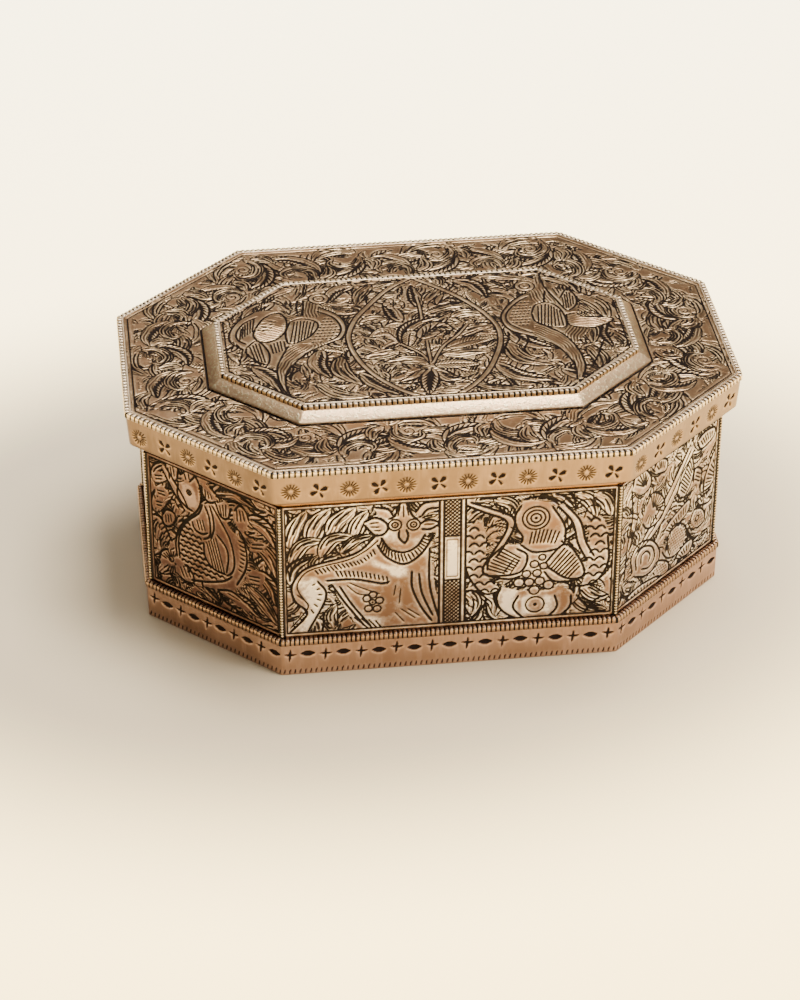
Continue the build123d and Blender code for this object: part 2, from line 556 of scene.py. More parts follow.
def leaf(sheet, spine, width, kind="half", pitch=None, lean=None, edge=None):
    # a curling leaf on a spine: two cut edges, bold strokes on one half or both, fine ones elsewhere
    s = leafSettings
    pitch, lean, edge = pitch or s["pitch"], lean or s["lean"], edge or s["edge"]
    spine = flowing(spine)
    side = sideways(spine)
    t = np.linspace(0, 1, len(spine))
    swell = np.sin(math.pi * t ** 0.8) ** 0.7 * width / 2
    left, right = spine + side * swell[:, None], spine - side * swell[:, None]
    shape = np.vstack((left, right[::-1]))
    sheet.clear(shape)
    if kind == "half":
        sheet.combed(np.vstack((spine, right[::-1])), spine)
    elif kind != "ribs":
        sheet.combed(shape, spine, s["across"] if kind == "cross" else 0.0)
    length = np.linalg.norm(np.diff(spine, axis=0), axis=1).sum()
    ribs = max(3, int(length * 0.85 / pitch))
    edges = {"ribs": (left, right), "half": (left,)}.get(kind, ())
    for k in range(ribs):
        share = 0.04 + 0.84 * (k + 0.5) / ribs
        beyond = share + lean / length
        for edgeLine in edges:
            start = onLine(spine, share)
            end = onLine(edgeLine, beyond) * 0.9 + onLine(spine, beyond) * 0.1
            middle = (start + end) / 2 + (onLine(spine, share + 0.04) - start) * 1.2
            sheet.line(flowing([start, middle, end]), "leafRib")
    if kind in ("ribs", "cross"):
        sheet.line(spine[: int(len(spine) * 0.9)], "leafSpine")
    elif kind == "long":
        for off, first, last in s["veins"]:
            part = slice(int(first * len(spine)), int(last * len(spine)) + 1)
            sheet.line((spine + side * (off * 2 * swell)[:, None])[part], "leafVein")
    sheet.line(left, "leafLeft", edge * (1.6 if kind == "half" else 1.0), (length * 0.6, length * 0.6))
    if edge >= s["edge"]:
        sheet.line(right, "leafRight", edge * 0.8)


def curl(sheet, centre, radius, turns, start, hand):
    # a spiral tendril with a dark eye
    turn = np.linspace(0, turns * 2 * math.pi, int(turns * 16) + 2)
    r = radius * (1 - 0.82 * turn / turn[-1])
    angle = math.radians(start) + hand * turn
    sheet.clear(circle(centre, radius, 20))
    sheet.line(centre + np.column_stack((np.cos(angle), np.sin(angle))) * r[:, None], "tendril")
    sheet.dot(centre, 0.28, "eye")


def cord(sheet, points, width, cut=None):
    # a line left standing between two fine cuts
    middle = flowing(points)
    side = sideways(middle) * width / 2
    sheet.clear(np.vstack((middle + side, (middle - side)[::-1])))
    for edge in (middle + side, middle - side):
        sheet.line(edge, "cord", cut)


scaleArc = np.array(((-0.62, -0.3), (-0.3, 0.12), (0.0, 0.25), (0.3, 0.12), (0.62, -0.3)))


def chase(sheet, figure, at=(0, 0), hand=1, bold=None, prick=0.3):
    # a drawn figure: its smooth forms with fine strokes and scales on them, then every cut and prick
    at, turn = np.array(at, float), np.array((hand, 1))

    def placed(points, closed=False):
        return flowing(np.array(points + points[:1] if closed else points, float) * turn + at)

    def part(key):
        return figure.get(key, ())

    for shape in part("forms"):
        sheet.clear(placed(shape, True))
    # patches painted bright: painted highlights
    for shape in part("paintedHighlights"):
        sheet.paintHighlight(placed(shape, True))
    for shape, spine in part("combed"):
        sheet.combed(placed(shape, True), placed(spine))
    for points in part("bold"):
        sheet.line(placed(points), "bold", bold)
    for points in part("fine"):
        sheet.line(placed(points), "fine")
    for form, first, last in part("edges"):
        sheet.line(placed(figure["forms"][form][first:last]), "bold", bold)
    for first, last, count in part("hatch"):
        between(sheet, placed(first), placed(last), count)
    for shape, across, up in part("scales"):
        for spot in spotsIn(placed(shape, True), across, up):
            sheet.line(scaleArc * across * 0.75 + spot, "scale")
    for shape, across, up in part("pricks"):
        for spot in spotsIn(placed(shape, True), across, up):
            sheet.dot(spot, prick)
    rings = [(np.array((x, y)) * turn + at, radius) for x, y, radius in part("rings")]
    for centre, radius in rings:
        sheet.clear(circle(centre, radius, 14))
    for centre, radius in rings:
        sheet.line(circle(centre, radius, max(9, int(radius * 9))), "rim")
    for x, y, radius in part("dots"):
        sheet.dot(np.array((x, y)) * turn + at, radius)


def spotsIn(shape, across, up):
    # points in staggered rows inside a closed outline
    low, high = shape.min(0), shape.max(0)
    rows, columns = np.arange(low[1] + up / 2, high[1], up), np.arange(low[0], high[0], across)
    v, u = np.meshgrid(rows, columns, indexing="ij")
    u = u + across / 2 * (np.arange(len(u))[:, None] % 2)
    within = covers(shape, u, v)
    return np.column_stack((u[within], v[within]))


def between(sheet, first, last, count, pitch=0.95):
    # strokes from one curve across to another, never closer than the pitch
    room = max(np.linalg.norm(np.diff(curve, axis=0), axis=1).sum() for curve in (first, last))
    count = min(count, max(2, int(room / pitch)))
    for k in range(count):
        sheet.line([onLine(curve, (k + 0.5) / count) for curve in (first, last)], "hatch")


# foliage
sprigLeaves = [  # spine, width, kind; x runs on, y to the left
    ([(-6.5, -3), (-2.5, -5.8), (2.5, -5.6), (6.5, -2)], 4.6, "long"),
    ([(-5.5, 1.5), (-2.5, 4.8), (2, 6.2), (6.4, 4.6)], 4.2, "half"),
    ([(-7, -0.5), (-8.8, 2.2), (-7.6, 5.8)], 3.6, "long"),
    ([(-0.5, 0.8), (2.8, 0.6), (6.2, 1.8), (8.8, 5.4)], 4, "half"),
    ([(1, -0.8), (4.5, -2), (8.2, -1.4), (10.4, 1.4)], 3.4, "long"),
    ([(-5.5, -2.2), (-4.4, 1.6), (-0.6, 3), (2, 0.8), (0.6, -1.8)], 3, "long"),
]


def placedBy(origin, heading, size, hand):
    c, s = math.cos(heading), math.sin(heading)
    turn = np.array(((c, s), (-s * hand, c * hand))) * size
    return lambda points: np.asarray(points, float) @ turn + origin


sprigSettings = {
    "swing": 0.25,
    "vary": (0.85, 1.15),
    "curlChance": 0.25,
    "curlAt": (-1.6, -0.4),
    "curlRadius": 1.9,
    "curlTurns": 1.3,
    "curlStart": 200,
}


def sprig(sheet, origin, heading, size, hand, dice):
    s = sprigSettings
    for spine, width, kind in sprigLeaves:
        turned = heading + dice.uniform(-s["swing"], s["swing"])
        place = placedBy(origin, turned, size * dice.uniform(*s["vary"]), hand)
        leaf(sheet, place(spine), width * size, kind)
    if dice.random() < s["curlChance"]:
        eye = placedBy(origin, heading, size, hand)(s["curlAt"])
        start = math.degrees(heading) + s["curlStart"]
        curl(sheet, eye, s["curlRadius"] * size, s["curlTurns"], start, -hand)


groundSettings = {  # the small leaves of the rough ground
    "swing": 0.5,
    "size": (0.8, 1.25),
    "bow": (0.3, 1.6),
    "half": 3.0,  # half a leaf's length
    "width": (2.4, 3.8),
    "kinds": ("long", "long", "cross", "half"),
    "pitch": 1.0,
    "lean": 2.4,
    "edge": 0.40,
}


def combedGround(sheet, dice, inside=None, spacing=3.3):
    # small overlapping hatched leaves over the whole sheet, turned by a slow swirl
    s = groundSettings
    low = sheet.low
    columns, rows = (int(length / spacing) + 1 for length in sheet.cell * sheet.count)
    spots = [(low[0] + (column + dice.random()) * spacing, low[1] + (row + dice.random()) * spacing)
             for row in range(rows) for column in range(columns)]
    dice.shuffle(spots)
    for u, v in spots:
        if inside and not inside(u, v):
            continue
        swirl = 2.2 * math.sin(u / 7.1 + v / 11.3) + 1.9 * math.sin(v / 6.3 - u / 13.0)
        heading = swirl + dice.uniform(-s["swing"], s["swing"])
        place = placedBy(np.array((u, v)), heading, dice.uniform(*s["size"]), dice.choice((-1, 1)))
        bow, half = dice.uniform(*s["bow"]), s["half"]
        spine = place([(-half, -bow / 2), (0, bow / 2), (half, -bow / 2)])
        width, kind = dice.uniform(*s["width"]), dice.choice(s["kinds"])
        leaf(sheet, spine, width, kind, s["pitch"], s["lean"], s["edge"])


# finishes
dullSpecular = 0.12  # specular level of the darkened metal in the cuts


def brighter(colour, times):
    return tuple(min(1, times * c) for c in colour)


def chasedFinish(name, metal, bright, dark):
    # the fine strokes are waves of the comb layer; the ridges between cuts and the crests of the fine
    # strokes are painted bright, partly as wear and partly as painted highlight
    f = Finish(name)
    cut = f.attribute("cut")
    sheenAndWear = f.attribute("sheenAndWear")
    wave = (f.attribute("comb") * (2 * math.pi / combPitch)).sine()
    patch = f.noise(110, 2, 0.5)
    tone = f.noise(260, 4, 0.65)
    fine = f.noise(1100, 3, 0.6)
    kept = f.noise(240, 2, 0.5).between(0.38, 0.52)
    groove = wave.between(-0.05, 0.65) * kept
    crest = wave.between(-0.3, -0.9) * kept
    body = f.mixed(patch.between(0.35, 0.65), brighter(metal, 0.75), metal)
    body = f.mixed(tone.between(0.52, 0.78) * 0.35, body, bright)
    # how strongly the painted highlight shows, patch by patch
    wearAndHighlight = (0.3 + patch.between(0.38, 0.62) * 0.9) * (0.45 + fine.between(0.35, 0.65) * 0.9)
    lit = f.mixed(((sheenAndWear + crest * 0.8) * wearAndHighlight).clamped(), body, bright)
    return f.made({
        "Base Color": f.mixed((cut.between(0.15, 0.7) + groove * 0.72).clamped(), lit, dark),
        "Roughness": (0.30 + cut * 0.4 + tone * 0.1).clamped(),
        "Metallic": (1.0 - cut * 0.8).clamped(),
        "Specular IOR Level": dullSpecular,
        "Normal": f.bump(fine * 0.5 - wave * kept, 0.5, 0.0001),
    })


def plainFinish(name, metal, wearAndHighlight, roughness, scratch, grainy=0.0):
    # plain sheet: cloudy tone, dark specks and, where it is grainy, a pale sparkle
    f = Finish(name)
    tone = f.noise(60, 5, 0.6)
    speck = f.noise(650, 4, 0.75)
    grain = f.noise(420, 4, 0.7)
    colour = f.mixed(tone.between(0.3, 0.75), metal, wearAndHighlight)
    colour = f.mixed(speck.between(0.58, 0.8) * 0.5, colour, brighter(metal, 0.45))
    sparkle = f.noise(1500, 2, 0.6).between(0.5, 0.72)
    colour = f.mixed(sparkle * grainy, colour, brighter(wearAndHighlight, 1.9))
    return f.made({
        "Base Color": colour,
        "Roughness": (roughness + (tone - 0.5) * 0.25 + (speck - 0.5) * 0.2).clamped(),
        "Metallic": 1.0,
        "Normal": f.bump(grain + sparkle * grainy, scratch, 0.0002),
    })


def bronzeFinish(name, metal, wearAndHighlight, dark):
    # plain sheet with punched marks, darkened inside them, painted bright beside them, partly wear and
    # partly painted highlight, brushed along and worn pale in streaks
    f = Finish(name)
    cut = f.attribute("cut")
    sheenAndWear = f.attribute("sheenAndWear")
    tone = f.noise(38, 4, 0.62)
    grain = f.noise(700, 3, 0.7, (1, 1, 0.25))
    streaks = f.noise(330, 3, 0.75, (1, 1, 0.2)).between(0.48, 0.72)
    body = f.mixed(tone.between(0.32, 0.68), metal, wearAndHighlight)
    body = f.mixed((sheenAndWear * 0.8 + streaks * 0.35).clamped(), body, brighter(wearAndHighlight, 1.5))
    return f.made({
        "Base Color": f.mixed(cut.between(0.15, 0.8), body, dark),
        "Roughness": (0.34 + cut * 0.35 + (tone - 0.5) * 0.2).clamped(),
        "Metallic": (1.0 - cut * 0.7).clamped(),
        "Specular IOR Level": dullSpecular,
        "Normal": f.bump(grain, 0.4, 0.0001),
    })


def darkFinish(name, colour):
    f = Finish(name)
    return f.made({"Base Color": colour, "Roughness": f.noise(400, 2) * 0.3 + 0.5, "Metallic": 0.6})


# each finish's second colour is that of its painted highlights
chasedTop = chasedFinish("chased_top", (0.325, 0.190, 0.100), (0.84, 0.615, 0.365), (0.012, 0.007, 0.005))
chasedSide = chasedFinish("chased_side", (0.255, 0.147, 0.101), (0.90, 0.80, 0.74), (0.016, 0.011, 0.010))
# a darker copy of the side finish: painted shade for the front left wall
chasedPaintedShade = chasedFinish("chased_painted_shade", (0.120, 0.060, 0.043), (0.35, 0.24, 0.19), (0.008, 0.005, 0.004))
bronzeDark = (0.02, 0.012, 0.01)
skirtBronze = bronzeFinish("skirt_bronze", (0.177, 0.112, 0.067), (0.267, 0.177, 0.115), bronzeDark)
plinthBronze = bronzeFinish("plinth_bronze", (0.36, 0.215, 0.145), (0.52, 0.335, 0.245), bronzeDark)
plainCollar = plainFinish("plain_collar", (0.34, 0.165, 0.075), (0.45, 0.24, 0.115), 0.30, 0.3)
plainBoss = plainFinish("pale_boss", (0.60, 0.39, 0.22), (0.78, 0.54, 0.32), 0.42, 0.5, 0.5)
notchFloor = darkFinish("notch_floor", (0.015, 0.01, 0.008))
beadMetal = plainFinish("bead_metal", (0.66, 0.48, 0.30), (0.95, 0.78, 0.56), 0.42, 0.3)
beadBronze = plainFinish("bead_bronze", (0.42, 0.25, 0.15), (0.62, 0.42, 0.28), 0.36, 0.3)
print("finishes made")


# chased sheets of the walls
wallSettings = {"cell": 0.21, "ground": 0.06}
plinthTop = levels("plinth_bead")[1]


def chasedValues(sheet, u, v, comb=True):
    layers = {"cut": sheet.dark, "sheenAndWear": sheet.sheenAndWear}
    if comb:
        layers["comb"] = sheet.comb
    return {key: sheet.sampled(u, v, layer) for key, layer in layers.items()}


def padded(values, count):
    # zeros for the plain points that follow the chased ones
    return {key: np.concatenate((value, np.zeros(count))) for key, value in values.items()}


def chasedWall(side, draw, finish):
    # the chased face over the CAD piece's plain bottom, ends, back and top
    s = wallSettings
    node = "wall_" + sideNames[side]
    plan = planOf(node)
    along = unitOf(floorPlan[(side + 1) % sideCount] - floorPlan[side])
    normal = np.array((along[1], -along[0]))
    face = plan[np.argsort(-(plan @ normal))[:2]]
    face = face[np.argsort(face @ along)]
    width = np.linalg.norm(face[1] - face[0])
    low, high = levels(node)
    height = high - plinthTop
    sheet = Drawing((0, 0), (width, height), ground=s["ground"])
    draw(sheet, width, height)
    sheet.finished()
    across, up = int(width / s["cell"]) + 1, int(height / s["cell"]) + 1
    u, v = np.meshgrid(np.linspace(0, width, across), np.linspace(0, height, up))
    deep = sheet.sampled(u, v, sheet.depth)
    deep[[0, -1], :] = 0
    deep[:, [0, -1]] = 0
    front = face[0] + u[..., None] * along - deep[..., None] * normal
    grid = np.dstack((front, v + plinthTop)).reshape(-1, 3)
    backs = plan[[np.abs(corner - face).sum(1).min() > 0.01 for corner in plan]]
    corners = [(*face[0], low), (*face[1], low)]
    for x, y in backs[np.argsort(backs @ along)]:
        corners += [(x, y, low), (x, y, high)]
    lowLeft, lowRight = len(grid), len(grid) + 1
    ring = [len(grid) + 2 + 2 * k for k in range(4)]  # lower ends of the back's four edges
    index = np.arange(len(grid)).reshape(up, across)
    faces = gridFaces(across, up)
    smooth = [True] * len(faces) + [False] * 8
    faces += [
        [lowLeft, lowRight] + index[0, ::-1].tolist(),
        [lowRight, ring[3], ring[3] + 1] + index[::-1, -1].tolist(),
        *([ring[k], ring[k - 1], ring[k - 1] + 1, ring[k] + 1] for k in (3, 2, 1)),
        [ring[0], lowLeft] + index[:, 0].tolist() + [ring[0] + 1],
        ring + [lowRight, lowLeft],
        index[-1].tolist() + [edge + 1 for edge in ring[::-1]],
    ]
    values = padded(chasedValues(sheet, u.ravel(), v.ravel()), len(corners))
    points = np.vstack((grid, corners))
    return meshPiece("chased_" + node, points, faces, finish, "box", [node], smooth, values)


# figures of the walls, from the panel's lower left; their "edges" are parts of the forms' outlines
# that are cut as bold lines: which form, its first point and the one after the last
beastFigure = {
    "forms": [
        [(22.5, 28.4), (18.1, 23.7), (13.1, 22), (7.7, 20.7), (4.1, 18.9), (1.7, 14.7), (2.4, 10.3),
         (5.3, 6.4), (1.5, 1.3), (5.8, 1), (10, 10.4), (10.8, 15), (13.6, 9.2), (18.6, 0.6), (24.6, -0.4),
         (31.2, -0.8), (37.6, 1.4), (36.4, 13.3), (35.2, 23.5), (34.2, 27.6), (29.3, 22.6), (23.8, 25.7)],
        [(24.4, 32.7), (26.4, 32.6), (28.8, 37.8), (31.5, 32.9), (33.8, 32), (34.7, 28.9), (34, 25.6),
         (32.1, 23.7), (29, 22.6), (25.8, 24.2), (23.7, 27), (23.6, 30)],
        [(19.3, 31.7), (22.1, 33.2), (25, 31), (24.5, 28.6), (22, 28.1)],
        [(32.6, 30.4), (34.9, 31.6), (37.5, 30.4), (35.3, 28.9), (33, 29.1)],
        [(31.7, 33.9), (33.7, 36.4), (37.3, 36.8), (37.4, 34.8), (33.2, 32.8)],
        [(21.7, 36.2), (25.2, 35.3), (26.4, 33.2), (25.2, 32.6), (22.9, 33.5)],
    ],
    "bold": [
        [(22.5, 28.4), (18.1, 23.7), (13.1, 22), (7.7, 20.7), (4.1, 18.9), (1.7, 14.7), (2.4, 10.3),
         (5.3, 6.4), (1, 1)], [(7.9, 16), (10, 11.1), (5.5, 1)],
        [(23.4, 27.4), (25.5, 23.8), (29, 22.6), (32.1, 24.1), (34.2, 27.6)],
        [(22.4, 25.4), (24.8, 21.5), (29.1, 19.2), (33.3, 22), (36.2, 27.1)],
        [(35.2, 23.5), (35.2, 13.4), (36.3, 7.3), (37.9, 1.4)], [(32.6, 16.3), (33.4, 10.2), (36.1, 3.2)],
        [(30.9, 17.1), (31, 12), (33.2, 6.1), (35.9, 1.6)],
        [(9.9, 15.8), (16.7, 15.7), (23.6, 13.9), (25.5, 14.4)], [(11.3, 14.7), (14.6, 8.8), (19.4, 1.4)],
        [(13.3, 13.9), (16.4, 8), (20.9, 1.3)],
        [(27.9, 29.1), (27.7, 27.1), (29.2, 25.3), (30, 27.2), (29.5, 29.3)],
        [(25.2, 32.6), (26.7, 33.2), (28.8, 37.8), (31.1, 32.9), (32.4, 32.1)],
        [(19.3, 32), (22.1, 33.2), (25, 31), (24.5, 28.6), (22, 28.1), (19.3, 31.4)],
        [(33.2, 32.8), (34.8, 34.7), (37.4, 34.8)],
    ],
    "edges": [(5, 0, 3), (3, 0, 5), (4, 0, 3)],
    "fine": [
        [(22.9, 26.7), (19.8, 23.9), (15.4, 21.5), (9.7, 20.2), (5.5, 18.8), (3.2, 15.6), (3.4, 12.9),
         (5.8, 8.7)], [(2.9, 12.3), (5.6, 8.4), (1.2, 2.3)], [(15, 14.1), (18, 11.2), (22, 11)],
        [(15.6, 14.8), (19.6, 12.5), (23.1, 10.9)], [(27, 13.3), (26.5, 10)], [(28.2, 12.2), (27.8, 7.5)],
        [(28.1, 6.1), (31.9, 2.8)], [(26.7, 5.2), (29.1, 2)], [(29.8, 6), (33, 3.4)],
        [(27.5, 33.1), (28.1, 36.1)], [(28.9, 32.7), (28.8, 36.4)], [(30.2, 33), (29.6, 35.7)],
        [(20.7, 31.6), (23, 31.8)], [(20.8, 30.6), (23.3, 30.4)], [(21.7, 29.5), (23.6, 29.4)],
        [(33.6, 30.4), (36.4, 30.3)],
    ],
    "hatch": [
        ([(23.4, 27), (25.5, 23.5), (29, 22.1), (32.1, 23.6), (34.2, 27.3)], [(22.8, 25.2), (24.9, 22),
         (29.1, 19.7), (33.1, 22.3), (35.8, 26.8)], 19),
        ([(6.9, 19.1), (12.6, 20.4), (18.2, 21.3), (21.8, 24.4)], [(7.8, 17.7), (13.2, 18.8), (18.8, 20.1),
         (22.4, 22.7)], 20),
        ([(11.8, 18.7), (18.3, 17.9), (25.2, 15.8)], [(12.7, 16.7), (19, 15.9), (25.6, 14.2)], 13),
        ([(6.2, 15.4), (8, 11.9), (5.9, 7)], [(7, 16), (9.2, 11.5), (6.5, 5.3)], 6),
        ([(22.8, 2.8), (15.9, 4.6)], [(24.6, -0.4), (20.6, -0.1)], 4),
    ],
    # patches painted bright: painted highlights
    "paintedHighlights": [
        [(3.5, 15.6), (5, 17.2), (7.7, 16.8), (7.7, 14), (9.4, 11.4), (8.8, 8), (5.3, 1.8), (3.4, 1.6),
         (6.6, 7.4), (4.6, 11.6)],
        [(21.1, 21.2), (24, 19.3), (29.7, 17.9), (29.4, 15.7), (26.6, 15.9), (25, 18), (21.4, 19.9)],
        [(23.5, 28.2), (26.6, 28.9), (27.4, 26.6), (25, 26.4)], [(30.4, 25.9), (33.4, 27.3), (32.4, 25.2)],
        [(18.8, 4.4), (23.5, 4), (22.4, 1.8), (19.8, 1.8)],
    ],
    "rings": [
        (26.8, 30.7, 1.6), (31.3, 30.5, 1.6), (26.8, 30.7, 0.8), (31.3, 30.5, 0.8), (21.3, 8.5, 0.8),
        (19.9, 9.7, 1), (21.4, 10.7, 1), (23, 8.9, 1), (22.4, 6.5, 1), (20.3, 6.7, 1),
    ],
    "dots": [(26.8, 30.7, 0.3), (31.3, 30.5, 0.3), (21.3, 8.5, 0.4)],
}
birdWings = [
    [(0.8, 27.3), (1.7, 16), (4, 11), (6.8, 8.5), (10.3, 9.4), (6.8, 13.8), (6.5, 19.4), (6.2, 27.7),
     (3.6, 29.7)],
    [(31.2, 27.4), (34.3, 29.5), (36.6, 23.7), (36.6, 15.8), (34, 10.4), (30.5, 9.1), (31.2, 13.9),
     (31.8, 21.4)],
]
birdFigure = {
    "forms": [
        [(15.3, 35.6), (13.4, 32), (13.4, 27.2), (15.3, 24.4), (14.7, 22.6), (10.9, 22.8), (6.8, 17.9),
         (6.8, 13.4), (15.3, 12.8), (18.5, 9.6), (21.7, 10.9), (30.5, 11.7), (29.9, 16.3), (25.8, 21.8),
         (24.8, 22.6), (25.8, 25.6), (25.2, 29.3), (22.3, 33.7), (18.5, 35.4)], *birdWings,
        [(10.3, 10.5), (9.3, 6.8), (10.9, 3), (16, -0.7), (23.6, -0.9), (27.4, 3), (28, 7.4), (24.8, 9.5),
         (21.7, 8.6), (15.3, 9)],
        [(0.5, 35.5), (5.9, 32.6), (10.9, 30), (11.2, 26.6), (7.4, 19.3), (6.8, 15.6), (9, 19.2),
         (12.8, 26.5), (12.8, 30.6), (7.4, 33.6), (2.4, 35.8)],
        [(23.6, 33.2), (27.4, 28.1), (29, 21.6), (31.2, 16.9), (33.1, 17.6), (30.9, 22.2), (29.3, 28.3),
         (25.5, 33.4)],
    ],
    "bold": [
        [(22.3, 33.3), (25.5, 27.4), (25.8, 22.6)], [(14.7, 22.6), (18.2, 20.1), (23.6, 20.5), (25.2, 21.9)],
        [(15, 34.2), (13.4, 30.9), (13.8, 27.5), (15.3, 24.8), (15, 22.9)],
        [(13.8, 21.5), (16.6, 19.1), (14.7, 14.3), (6.8, 14.1), (6.2, 17.5), (10.9, 22.8)],
        [(20.7, 16.2), (25.8, 21.8), (29.9, 16.3), (30.5, 12.1), (26.4, 11.7), (20.7, 16.2)],
        [(6.8, 13.9), (12.2, 12.5), (15.3, 13.4)], [(20.7, 14.3), (23.3, 11.1), (28, 10.8), (31.2, 12.4)],
        [(14.7, 7.6), (13.4, 3.9), (16.9, -0.4)], [(23.6, 7), (24.2, 3.2), (21, -0.7)],
        [(27.7, 6.7), (27.4, 3), (23.6, -0.9)], [(0.8, 24.3), (1.7, 16), (4, 11), (6.8, 8.5), (10.3, 9.4)],
        [(36.2, 23.7), (36.6, 15.8), (34, 10.4), (30.5, 9.1), (28, 9.3)],
        [(15.3, 35.6), (19.5, 36.1), (24.8, 34.2)],
        [(0.5, 8.6), (2.7, 9.9), (5.9, 8.2), (6.5, 5.9), (2.7, 0.6)], [(31.2, 1.2), (34, 4.8), (37.2, 6)],
        [(29, 6.6), (32.1, 2.6), (37.5, 0.4)],
    ],
    "edges": [(4, 0, 6), (4, 6, 11), (5, 0, 4), (5, 4, 8), (3, 0, 4)],
    "fine": [
        [(12.2, 28), (13.4, 27), (14.7, 26.3)], [(12.5, 26.5), (14.1, 26.4)], [(13.4, 18.5), (10.9, 14.6)],
        [(14.7, 18.1), (12.5, 14.1)], [(24.8, 33.5), (25.5, 34.9), (27.7, 35.2)],
        [(28, 31), (29, 33.9), (31.2, 34.5)], [(30.2, 29), (31.2, 32.3), (33.7, 32.5)],
        [(1.1, 6.7), (3.6, 4.6)], [(1.4, 4.8), (3, 2.4)], [(2.7, 8.4), (4.9, 6)], [(32.4, 2.6), (35.3, 2.8)],
        [(33.7, 4), (36.9, 4.6)],
    ],
    "hatch": [
        ([(10.9, 22.1), (8.1, 18.9), (6.8, 15.6)], [(15.3, 18.8), (13.8, 15.9), (10.9, 14)], 9),
        ([(25.5, 21.1), (28.3, 18.3), (29.9, 14.8)], [(21.7, 15.7), (24.2, 12.9), (27.4, 11.8)], 11),
        ([(17.2, 26.1), (21, 26.6), (24.8, 25.6)], [(16.6, 22.4), (20.4, 22.6), (23.6, 22)], 9),
        ([(9, 34.2), (15, 32.7)], [(10.3, 31.5), (13.4, 31.3)], 6),
    ],
    "scales": [(wing, 2.7, 2.3) for wing in birdWings],
    # patches painted bright: painted highlights
    "paintedHighlights": [
        [(11.2, 9), (14.2, 9), (13.2, 7), (14.2, 3.3), (12.4, 2.2), (10.8, 4.4), (10.6, 7)],
        [(15.6, 6.6), (17.4, 7.2), (17.2, 2.4), (15.8, 2)], [(21, 7), (22.6, 6.4), (22.6, 2.4), (20.6, 2.2)],
    ],
    "rings": [
        (18.5, 30, 3.3), (18.5, 30, 2.3), (18.5, 30, 1.3), (20.3, 18.4, 0.9), (18.4, 16.5, 1.1),
        (20.7, 15.8, 1), (19.1, 13.8, 1.1), (16.5, 13.7, 1.1), (14.7, 11.3, 1.3), (17.2, 11.2, 1.2),
        (19.8, 11.4, 1.2), (18.5, 8.8, 1.3), (22, 10.1, 1.3), (18.8, 4.5, 2.3),
    ],
    "dots": [(18.5, 30, 0.5), (18.8, 4.5, 0.6)],
}
